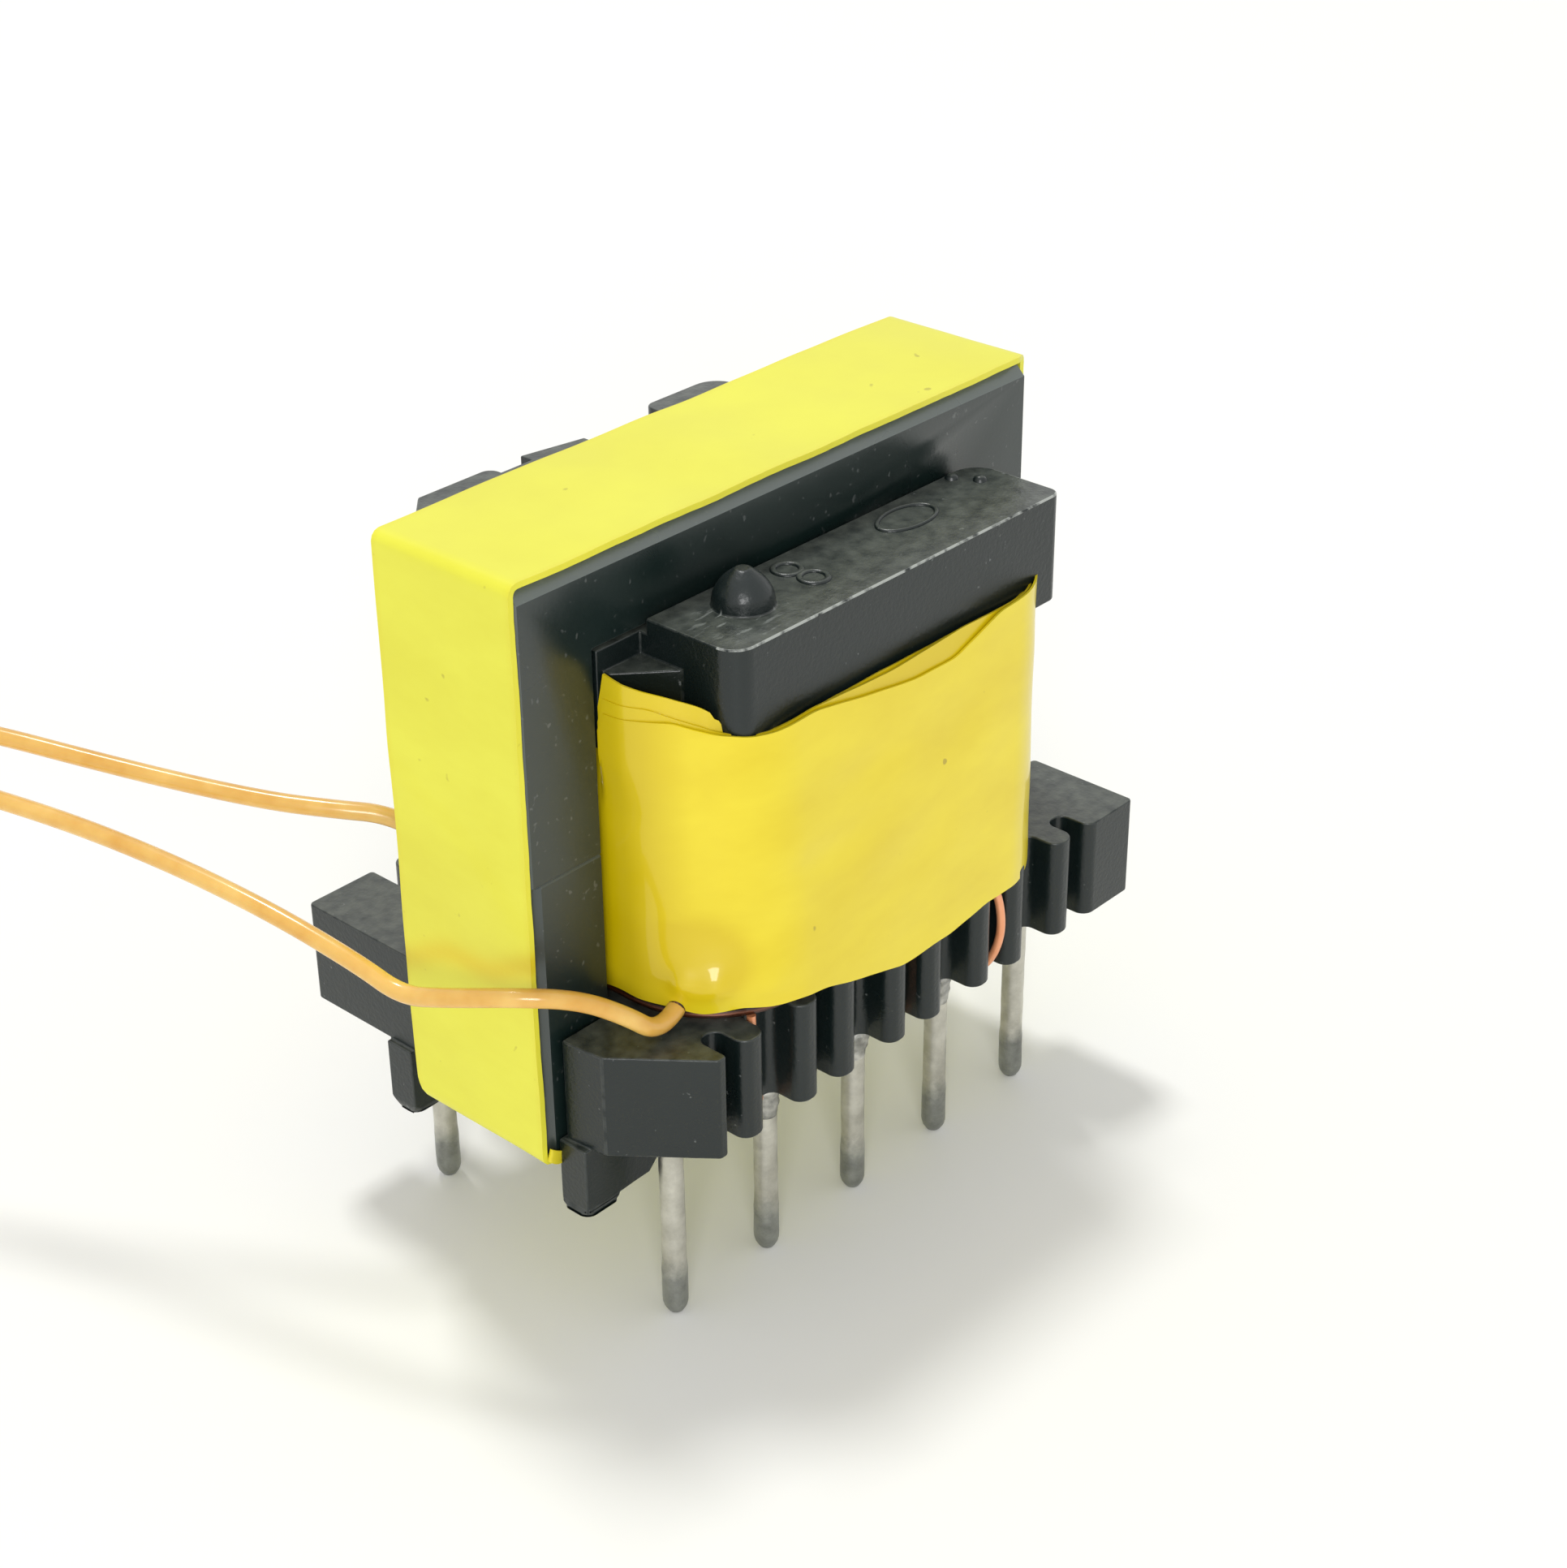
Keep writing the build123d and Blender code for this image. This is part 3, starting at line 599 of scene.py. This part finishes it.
def roundWire(name, points, diameter):
    curve = bpy.data.curves.new(name, "CURVE")
    curve.dimensions = "3D"
    spline = curve.splines.new("NURBS")
    spline.points.add(len(points) - 1)
    for point, place in zip(spline.points, points):
        point.co = (*[c * mm for c in place], 1.0)
    spline.order_u = 3
    spline.use_endpoint_u = True
    spline.resolution_u = 10
    curve.bevel_depth = diameter / 2 * mm
    curve.bevel_resolution = 6
    curve.use_fill_caps = True
    return curve


for side in ("front", "back"):
    exitPoint = flyLead[side]["exit"]
    points = [[e + c for e, c in zip(exitPoint, step)] for step in flyLead[side]["path"]]
    curve = roundWire("flyLead" + side.title(), points, flyLead["diameter"])
    lead = newPiece("flyLead" + side.title(), curve, finishes["insulated_wire"], "insulated_wire",
                    "fly_lead_" + side)
print("fly leads laid")


# moulded bobbin

bobbinFinish = {
    "edge": (0.05, 2),  # width of its bevels in mm, and their steps
    "footEdge": (0.25, 5),
    "footHeight": 3.75,  # mm, as are the rest
    "top": 19.35,
    "wear": 0.06,  # how pale the edges are
    "rim": {"depth": 0.12, "front": -5.0, "right": 6.9, "corner": (-5.3, -5.4), "cornerReach": 1.0},
    "shoulder": {"left": -5.6, "above": 16.0},
    "pip": {"centre": (-3.4, -3.85), "reach": 1.2, "foot": 0.2, "height": 0.74, "lean": 0.27,
            "nippleFrom": 0.92, "nippleRise": 0.6},
    "markLine": 0.18,
    "markHeight": 0.07,
    "rings": [(-1.25, -3.35), (-1.15, -4.15)],
    "ringRadius": 0.36,
    "oval": {"centre": (3.1, -3.6), "radius": 1.0, "stretch": (1.0, 0.56)},
    "beads": [(5.85, -2.85), (6.25, -3.5)],
    "beadRadius": 0.2,
    "beadShape": [(0, 0.7), (0.5, 0.6), (0.85, 0.35), (1.0, -0.1)],  # out and up, in radii
}


def raisedRing(bm, centre, radius, stretch=(1.0, 1.0)):
    # a low rounded ridge moulded on the top of the block
    half = bobbinFinish["markLine"] / 2
    circle = [(radius + half * math.cos(math.radians(a)), half * math.sin(math.radians(a)))
              for a in range(0, 361, 15)]
    points = turned(bm, circle, (0, 0), 64)
    bmesh.ops.scale(bm, vec=(*stretch, bobbinFinish["markHeight"] / half), verts=points)
    bmesh.ops.translate(bm, vec=(centre[0] * mm, centre[1] * mm, bobbinFinish["top"] * mm), verts=points)


def wearAt(x, y, z):
    # pale flash along the block's rim, none on the shoulder that the tape hides
    rim, shoulder = bobbinFinish["rim"], bobbinFinish["shoulder"]
    fromCorner = math.hypot(x - rim["corner"][0], y - rim["corner"][1])
    if z > bobbinFinish["top"] - rim["depth"] and (
            y < rim["front"] or x > rim["right"] or fromCorner < rim["cornerReach"]):
        return 1.0
    return 0.0 if x < shoulder["left"] and z > shoulder["above"] else bobbinFinish["wear"]


bm = nodeShape("bobbin")
wear = bm.faces.layers.float.new("edgeWear")
feet = [e for e in sharpEdges(bm) if max(v.co.z for v in e.verts) < bobbinFinish["footHeight"] * mm]
bevelEdges(bm, feet, *bobbinFinish["footEdge"])
for face in bevelEdges(bm, sharpEdges(bm), *bobbinFinish["edge"]):
    face[wear] = wearAt(*face.calc_center_median() / mm)

# the pip leans in towards its small nipple
pip = bobbinFinish["pip"]
for point in bm.verts:
    x, y, z = point.co / mm
    outX, outY = x - pip["centre"][0], y - pip["centre"][1]
    rise = (z - bobbinFinish["top"] - pip["foot"]) / pip["height"]
    if rise > 0 and math.hypot(outX, outY) < pip["reach"]:
        drawn = 1 - pip["lean"] * rise
        z += pip["nippleRise"] * max(0.0, rise - pip["nippleFrom"])
        point.co = Vector((pip["centre"][0] + outX * drawn, pip["centre"][1] + outY * drawn, z)) * mm

for centre in bobbinFinish["rings"]:
    raisedRing(bm, centre, bobbinFinish["ringRadius"])
raisedRing(bm, **bobbinFinish["oval"])
for centre in bobbinFinish["beads"]:
    r = bobbinFinish["beadRadius"]
    profile = [(r * out, bobbinFinish["top"] + r * up) for out, up in bobbinFinish["beadShape"]]
    turned(bm, profile, centre, 20)
bm.normal_update()
newPiece("bobbinMoulding", meshFrom(bm, "bobbinMoulding", weighted=True), finishes["phenolic"],
         "phenolic", "bobbin")
print("bobbin moulded")


# ferrite cores

coreFinish = {
    "edge": 0.05,  # mm
    "edgePale": 0.3,
    "core_lower": (0.3, 0.12),  # width of the ground edges at its sides, and how pale they are
    "core_upper": (0.4, 0.8),  # and of those along its top
}


def groundEdge(bm, wear, pale, place, way):
    # cuts an edge off along a slanting plane and closes the cut
    cut = bmesh.ops.bisect_plane(bm, geom=bm.verts[:] + bm.edges[:] + bm.faces[:], plane_co=place,
                                 plane_no=way, clear_outer=True)["geom_cut"]
    rim = [e for e in cut if isinstance(e, bmesh.types.BMEdge)]
    for face in bmesh.ops.edgeloop_fill(bm, edges=rim)["faces"]:
        face[wear] = pale


for half in ("core_lower", "core_upper"):
    bm = nodeShape(half)
    low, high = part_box(half)
    width, pale = coreFinish[half][0] * mm, coreFinish[half][1]
    wear = bm.faces.layers.float.new("edgeWear")
    for front in (-1, 1):
        if half == "core_upper":
            groundEdge(bm, wear, pale, (0, front * high[1], high[2] - width), (0, front, 1))
        else:
            for side in (-1, 1):
                place = (side * high[0], front * (high[1] - width), 0)
                groundEdge(bm, wear, pale, place, (side, front, 0))
    for face in bevelEdges(bm, sharpEdges(bm, 60), coreFinish["edge"], 1):
        face[wear] = coreFinish["edgePale"]
    bmesh.ops.recalc_face_normals(bm, faces=bm.faces)
    newPiece("ferrite" + half.title().replace("_", ""), meshFrom(bm, half, 30), finishes["ferrite"],
             "ferrite", half)
print("cores ground")


# tape round the cores

coreTape = {
    "corner": 0.34,  # mm
    "film": 0.16,
    "wobble": (0.035, 1.7),  # how far its edges stray, and over what length
    "fray": (0.014, 0.4),
    "backWobble": (0.035, 1.9),
    "swell": (0.05, 3.2),
    "sink": 0.03,
    "setBack": (0.22, 0.5),  # of its front edge down the right side, and over what width
    "foldRadius": 0.75,  # of the rounded corner at the bottom of the left side
    "around": 440,
    "across": 22,
    # painted reflection of the front fly lead in the glossy film, across the left side
    "leadReflection": {"left": -9.3, "height": 10.4, "fall": 0.3, "wander": (0.15, 1.9), "halfHeight": 0.38,
               "tint": 0.9},
    "edgeTint": (2.3, 2.0),  # from where, and how much for each mm
    # the folded end of tape at the bottom of the left side; its tint is painted shade
    "stub": {"centre": (-9.36, -2.49, 5.3), "size": (0.42, 0.09, 0.36), "lean": (0.1, -0.25),
             "crumple": (0.05, 0.35), "tint": 0.8},
}

low, high = [[c / mm for c in corner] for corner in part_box("core_tape")]
middle = (low[2] + high[2]) / 2


def coreTapePoint(around, across):
    tape = coreTape
    place, outward = loopPoint(around, high[0], (high[2] - low[2]) / 2, [tape["corner"]] * 4)
    x, z = place.x, -place.y + middle
    front, back = low[1], high[1]
    front += stray(tape["wobble"], x, z, 3) + stray(tape["fray"], x, z, 5)
    back += stray(tape["backWobble"], x, z, 9)
    depth, width = tape["setBack"]
    front += depth * min(1.0, max(0.0, (x - high[0] + width) / width))
    r = tape["foldRadius"]
    above = z - low[2]
    if above < r:
        back -= r - math.sqrt(max(0.0, r * r - (r - above) ** 2))
    y = front + (back - front) * across
    swell = stray(tape["swell"], x, y, z) - tape["sink"]
    return Vector((x + outward.x * swell, y, z - outward.y * swell)) * mm


bm = bmesh.new()
wrappedSheet(bm, coreTape["around"], coreTape["across"], coreTape["film"], coreTapePoint)
tint = bm.verts.layers.float.new("tintAndPaintedShade")
leadReflection = coreTape["leadReflection"]
for point in bm.verts:
    x, y, z = point.co / mm
    # painted reflection of the front fly lead: a golden band that follows the lead's height and kinks
    fall = leadReflection["fall"] * y - leadReflection["wander"][0] * math.sin(y * leadReflection["wander"][1])
    reflected = bell((z - leadReflection["height"] + fall) / leadReflection["halfHeight"]) if x < leadReflection["left"] else 0.0
    edge = max(0.0, abs(y) - coreTape["edgeTint"][0]) * coreTape["edgeTint"][1]
    point[tint] = min(1.0, leadReflection["tint"] * reflected + edge)
newPiece("coreTapeBand", meshFrom(bm, "coreTapeBand"), finishes["polyester_tape"], "polyester_tape",
         "core_tape")

bm = bmesh.new()
bmesh.ops.create_cube(bm, size=1.0)
bmesh.ops.subdivide_edges(bm, edges=bm.edges, cuts=5, use_grid_fill=True)
stub = coreTape["stub"]
for point in bm.verts:
    x, y, z = [c + size * share for c, size, share in zip(stub["centre"], stub["size"], point.co)]
    lean = Vector((stub["lean"][0] * point.co.z, 0, stub["lean"][1] * point.co.x))
    point.co = (Vector((x, y, z)) + lean) * mm
    point.co += Vector((0, 1, 1)) * mm * stray(stub["crumple"], *(point.co / mm))
bmesh.ops.smooth_vert(bm, verts=bm.verts, factor=0.5, use_axis_x=True, use_axis_y=True, use_axis_z=True)
tint = bm.verts.layers.float.new("tintAndPaintedShade")
# painted shade: the stub lies in shade, so all of it takes the golden tint
for point in bm.verts:
    point[tint] = stub["tint"]
newPiece("coreTapeStub", meshFrom(bm, "coreTapeStub"), finishes["polyester_tape"], "polyester_tape")
print("core tape wound")


# tape round the windings

windingTape = {
    "halfWidth": 6.95,  # mm, as are the rest
    "halfDepth": 6.06,
    "flare": 0.36,  # of its lower edge, over the teeth
    "bow": 0.148,
    "leftRadius": 3.26,
    "rightRadius": 1.81,
    "rightEase": 0.72,  # how much rounder the right corners are at the bottom
    "low": 8.27,
    "high": 18.15,
    "length": 47.7,  # once round
    "film": 0.06,
    "around": 420,
    "up": 34,
    # each layer: how far it lies inside the outermost, and its upper edge by the distance from the
    # middle of the left side
    "layers": [
        {"inset": 0.0,
         "top": [(0, 16.15), (2.3, 16.15), (2.42, 17.36), (4.5, 17.5), (5.5, 17.17), (5.9, 17.1),
                 (6.4, 16.99), (7.1, 16.96), (8.5, 17.06), (9.2, 16.95), (10.2, 16.78), (12.3, 16.5),
                 (13.8, 16.49), (14.8, 16.8), (15.7, 17.08), (16.3, 17.1), (18.0, 17.28), (19.5, 17.1),
                 (21.2, 16.95), (21.3, 16.15), (24, 16.15)]},
        {"inset": 0.09,
         "top": [(0, 16.15), (2.3, 16.15), (2.42, 17.76), (3.9, 17.78), (5.0, 17.42), (5.6, 17.17),
                 (6.4, 16.97), (7.1, 16.95), (8.5, 17.08), (11.3, 17.0), (14.3, 17.12), (16.3, 17.06),
                 (18.0, 17.12), (19.5, 16.95), (21.2, 16.85), (21.3, 16.15), (24, 16.15)]},
        {"inset": 0.18,
         "top": [(0, 16.15), (2.3, 16.15), (2.42, 18.46), (4.2, 18.12), (5.1, 17.82), (5.68, 17.53),
                 (5.72, 17.15), (6.4, 16.85), (8.5, 16.95), (11.3, 17.04), (14.3, 17.0), (16.3, 16.95),
                 (18.0, 17.0), (21.2, 16.8), (21.3, 16.15), (24, 16.15)]},
    ],
    "bottom": [(0, 9.0), (2.6, 9.3), (4.4, 9.35), (5.1, 9.25), (5.8, 9.36), (6.0, 9.42), (7.0, 9.28),
               (8.6, 9.12), (10.0, 8.72), (11.6, 8.32), (13.6, 8.33), (15.2, 8.56), (16.6, 8.52),
               (17.6, 8.62), (18.6, 8.9), (20.5, 9.0), (24, 9.0)],
    "bottomRise": 0.3,  # of the inner layers' lower edges, for each mm that they lie inside
    "topWander": (0.02, 1.1),  # how far the edges stray, and over what length
    "bottomWander": (0.03, 0.9),
    "layerShift": 50,  # sets the wander of one layer apart from the next
    "swell": (0.045, 2.4),
    "swellFlatten": 1.6,
    "sink": 0.03,
    # the pocket over the fly lead's root, a crease above it, small bulges and shallow dents in the
    # front: how far out, how far round and up, and the size each way
    "bulges": [(0.22, 5.1, 10.0, 0.9, 0.5), (-0.16, 5.9, 11.4, 1.6, 0.75),
               (0.15, 4.55, 10.2, 0.3, 0.24), (0.12, 5.45, 10.2, 0.34, 0.27),
               (0.10, 6.8, 10.0, 0.6, 0.4), (-0.05, 10.5, 14.7, 1.6, 0.5), (-0.05, 8.6, 12.9, 1.3, 0.4)],
    "parting": (0.93, 0.5556),  # share of the height where the layers part, and by how much
    "corePinch": 2.3,  # half the width of the cores' legs
    # where it is drawn out over the flange's end, at the left
    "drawn": {"until": 5.2, "over": 2.0, "above": 14.6, "rise": 1.5, "out": 0.17, "layerStep": 0.3},
    # how golden it is: painted shade on the inner layers to the left and right of a place, a patch over the
    # lead's root, and painted shade on the edge beside the core
    "innerShade": (-1.0, 0.75, 0.9),
    "patch": {"strength": 1.9, "centre": (-6.4, 10.8), "size": (1.0, 1.1)},
    "shadeNearCore": {"from": -6.3, "gain": 1.4, "most": 0.9},
}


def windingTapePoint(layer, around, up):
    tape = windingTape
    inset = layer["inset"]
    s = around * tape["length"]
    fromLeft = min(s, tape["length"] - s)
    shift = inset * tape["layerShift"]
    top = lineAt(layer["top"], fromLeft) + stray(tape["topWander"], s, shift, 0)
    bottom = lineAt(tape["bottom"], fromLeft) + tape["bottomRise"] * inset
    bottom += stray(tape["bottomWander"], s, 7, shift)
    z = bottom + (top - bottom) * up
    lowness = (tape["high"] - z) / (tape["high"] - tape["low"])
    right = tape["rightRadius"] + tape["rightEase"] * lowness
    place, outward = loopPoint(around, tape["halfWidth"], tape["halfDepth"] + tape["flare"] * lowness,
                               [tape["leftRadius"], right, right, tape["leftRadius"]])
    place.y -= math.copysign(tape["bow"] * (place.x / tape["halfWidth"]) ** 2, place.y) * abs(outward.y)
    swell = stray(tape["swell"], place.x, place.y, z * tape["swellFlatten"]) - tape["sink"]
    if s < tape["length"] / 2:
        for out, alongAt, upAt, width, height in tape["bulges"]:
            swell += out * bell((s - alongAt) / width, (z - upAt) / height)
    partFrom, part = tape["parting"]
    swell -= inset * (1 + part * max(0.0, up - partFrom) / (1 - partFrom))
    # close against the cores, where there is no room to swell, and drawn over the flange's end
    drawn = tape["drawn"]
    if outward.x ** 2 > 0.9 and abs(place.y) < tape["corePinch"]:
        swell = min(swell, -inset)
    elif fromLeft < drawn["until"]:
        share = min(1.0, (drawn["until"] - fromLeft) / drawn["over"])
        share *= min(1.0, max(0.0, (z - drawn["above"]) / drawn["rise"]))
        swell += share * (drawn["out"] - drawn["layerStep"] * inset - swell)
    return Vector((place.x + outward.x * swell, place.y + outward.y * swell, z)) * mm


def goldenAt(layer, x, y, z):
    # how deep the yellow is, from 0 to 1, with painted shade on the inner layers and beside the core
    tape = windingTape
    # painted shade between the layers: each inner layer takes one set tint
    if layer["inset"] > 0:
        split, left, right = tape["innerShade"]
        return right if x > split else left
    if y > 0:
        return 0.0
    patch, nearCoreShade = tape["patch"], tape["shadeNearCore"]
    far = sum(((c - at) / size) ** 2 for c, at, size in zip((x, z), patch["centre"], patch["size"]))
    golden = min(1.0, patch["strength"] * bell(far))
    # painted shade beside the cores' legs, deeper towards the left edge
    return max(golden, min(nearCoreShade["most"], max(0.0, nearCoreShade["from"] - x) * nearCoreShade["gain"]))


bm = bmesh.new()
tint = bm.verts.layers.float.new("tintAndPaintedShade")
for layer in windingTape["layers"]:
    before = set(bm.verts)
    wrappedSheet(bm, windingTape["around"], windingTape["up"], windingTape["film"],
                 lambda around, up: windingTapePoint(layer, around, up))
    for point in set(bm.verts) - before:
        point[tint] = goldenAt(layer, *(point.co / mm))
newPiece("windingTapeWrap", meshFrom(bm, "windingTapeWrap"), windingFilm, "polyester_tape",
         "outer_winding_tape")
print("winding tape wound")


# pins

pinShape = {
    "tip": [(0.0, 0.0), (0.13, 0.01), (0.22, 0.07), (0.31, 0.22), (0.345, 0.36)],
    "coated": (0.35, 1.45),  # radius and height of the thicker tinned end
    "shank": 0.33,
    "from": 0.5,
    "top": 8.15,
    "rings": 26,
    "steps": 24,
    "lumps": (0.014, 0.5),  # how high they stand, and their length
}

for number in range(1, 11):
    low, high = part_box(f"pin_{number}")
    centre = ((low[0] + high[0]) / 2 / mm, (low[1] + high[1]) / 2 / mm)
    profile = list(pinShape["tip"])
    for i in range(pinShape["rings"]):
        z = pinShape["from"] + (pinShape["top"] - pinShape["from"]) * i / (pinShape["rings"] - 1)
        coatRadius, coatTop = pinShape["coated"]
        profile.append((coatRadius if z < coatTop else pinShape["shank"], z))
    profile.append((0.0, pinShape["top"]))
    bm = bmesh.new()
    for point in turned(bm, profile, centre, pinShape["steps"]):
        x, y, z = point.co / mm
        grow = 1 + stray(pinShape["lumps"], x, y, z + number) / pinShape["shank"]
        point.co = Vector((centre[0] + (x - centre[0]) * grow, centre[1] + (y - centre[1]) * grow, z)) * mm
    newPiece(f"pinPost{number}", meshFrom(bm, f"pinPost{number}"), finishes["tinned_steel"], "tinned_steel",
             f"pin_{number}")
print("pins turned")


# soldered wraps at the pins

solderShape = {
    "pins": (2, 3, 4, 8),
    "profile": [(0.33, 4.5), (0.345, 4.6), (0.365, 4.75), (0.38, 4.9), (0.395, 5.05), (0.41, 5.2),
                (0.42, 5.3), (0.42, 5.4), (0.42, 5.5), (0.41, 5.6), (0.40, 5.74), (0.33, 5.75)],
    "hole": 0.33,
    "skin": 0.06,  # over which the lumps fade out towards the pin
    "turn": 0.26,  # mm from one turn of wire to the next
    "ridge": 0.025,
    "lumps": (0.05, 0.35),
    "meanRadius": 0.45,
    "spiked": 3,  # the pin whose solder was drawn out to one side
    "spike": (0.32, 0.35, 5.3, 0.16),  # reach, half angle, height and half height
    "belly": (0.07, 5.25, 0.3),  # reach, height and half height
}

for number in solderShape["pins"]:
    low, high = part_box(f"solder_joint_{number}")
    centre = ((low[0] + high[0]) / 2 / mm, (low[1] + high[1]) / 2 / mm)
    bm = bmesh.new()
    for point in turned(bm, solderShape["profile"], centre, 36):
        x, y, z = point.co.x / mm - centre[0], point.co.y / mm - centre[1], point.co.z / mm
        angle = math.atan2(y, x)
        inside = min(1.0, max(0.0, (math.hypot(x, y) - solderShape["hole"]) / solderShape["skin"]))
        grow = solderShape["ridge"] * math.cos(2 * math.pi * z / solderShape["turn"] - angle)
        grow += stray(solderShape["lumps"], x, y, z + number)
        if number == solderShape["spiked"]:
            reach, halfAngle, height, halfHeight = solderShape["spike"]
            grow += reach * bell(angle / halfAngle, (z - height) / halfHeight)
            reach, height, halfHeight = solderShape["belly"]
            grow += reach * bell((z - height) / halfHeight)
        grow = 1 + inside * grow / solderShape["meanRadius"]
        point.co = Vector((centre[0] + x * grow, centre[1] + y * grow, z)) * mm
    newPiece(f"solderWrap{number}", meshFrom(bm, f"solderWrap{number}"), finishes["solder"], "solder",
             f"solder_joint_{number}")
print("solder set")


# copper lead-outs, from under the tape down to their pins

leadOut = {
    "diameter": 0.25,  # mm
    "paths": {
        2: [(-5.05, -5.42, 8.8), (-5.08, -5.46, 8.2), (-5.02, -5.40, 7.0), (-5.06, -5.34, 5.9),
            (-4.75, -5.10, 5.45), (-4.35, -4.85, 5.35), (-4.02, -4.68, 5.3)],
        3: [(0.75, -5.36, 8.8), (0.78, -5.40, 8.0), (0.74, -5.38, 6.8), (0.75, -5.34, 5.9),
            (0.68, -5.15, 5.45), (0.55, -4.95, 5.35), (0.4, -4.78, 5.3)],
        4: [(4.33, -5.62, 8.8), (4.38, -5.90, 8.45), (4.47, -6.06, 7.7), (4.48, -6.07, 6.9),
            (4.38, -5.86, 6.1), (4.2, -5.4, 5.55), (3.96, -4.9, 5.3)],
        8: [(0.75, 5.36, 8.8), (0.72, 5.42, 7.9), (0.77, 5.38, 6.8), (0.75, 5.34, 5.9),
            (0.68, 5.15, 5.45), (0.55, 4.95, 5.35), (0.4, 4.78, 5.3)],
    },
}

for number, path in leadOut["paths"].items():
    newPiece(f"leadOutWire{number}", roundWire(f"leadOutWire{number}", path, leadOut["diameter"]),
             finishes["enamelled_copper"], "enamelled_copper", f"lead_out_{number}")
print("lead-outs laid")


# carried over nodes

slotOf = {row["node"]: row["material_slot"] for row in frame["record"]["subparts"]}
for node, piece in frame["nodes"].items():
    if piece.hide_render:
        continue
    finish = finishes[slotOf[node]]
    if "winding" in node:
        finish = shadedWoundWire
    elif "insulation" in node:
        finish = windingFilm
    piece.data.materials.clear()
    piece.data.materials.append(finish)
print("carried over nodes finished")


# floor, light and background

stage = {
    "floor": "#F4F4F0",
    "floorRoughness": 0.6,
    "floorReach": 600,  # mm
    "world": 0.6,
    "aim": (0, 0, 8),  # mm
    "lamps": {
        "key": {"place": (80, 190, 620), "size": 100, "power": 1.75},
        "fill": {"place": (-460, -440, 290), "size": 220, "power": 1.95},
    },
}

floorMesh = bmesh.new()
bmesh.ops.create_grid(floorMesh, x_segments=1, y_segments=1, size=stage["floorReach"] * mm)
floor = bpy.data.objects.new("floor", meshFrom(floorMesh, "floor"))
bpy.context.scene.collection.objects.link(floor)
paint, tree, surface, place = newMaterial("paleFloor")
fillSockets(tree, surface, {"Base Color": srgb(stage["floor"]), "Roughness": stage["floorRoughness"]})
floor.data.materials.append(paint)

world = bpy.data.worlds.new("studio")
bpy.context.scene.world = world
world.use_nodes = True
tree = world.node_tree
tree.nodes.clear()
rays = addNode(tree, "ShaderNodeLightPath").outputs
seen = addNode(tree, "ShaderNodeMath", {"operation": "MAXIMUM"}, {
    0: rays["Is Camera Ray"], 1: rays["Is Glossy Ray"]})
seen = addNode(tree, "ShaderNodeMath", {"operation": "MAXIMUM"}, {0: seen, 1: rays["Is Transmission Ray"]})
light = addNode(tree, "ShaderNodeBackground", inputs={
    "Color": srgb("#FFFFFF"), "Strength": stage["world"]})
shown = addNode(tree, "ShaderNodeBackground", inputs={"Color": srgb("#FFFFFF"), "Strength": 1.0})
both = addNode(tree, "ShaderNodeMixShader", inputs={0: seen, 1: light, 2: shown})
addNode(tree, "ShaderNodeOutputWorld", inputs={"Surface": both})

for name, lamp in stage["lamps"].items():
    data = bpy.data.lights.new(name, "AREA")
    data.size = lamp["size"] * mm
    data.energy = lamp["power"]
    lampObject = bpy.data.objects.new(name, data)
    lampObject.location = [c * mm for c in lamp["place"]]
    aim = Vector(stage["aim"]) * mm - lampObject.location
    lampObject.rotation_euler = aim.to_track_quat("-Z", "Y").to_euler()
    bpy.context.scene.collection.objects.link(lampObject)

bpy.context.scene.view_settings.view_transform = "Standard"
print("stage set")
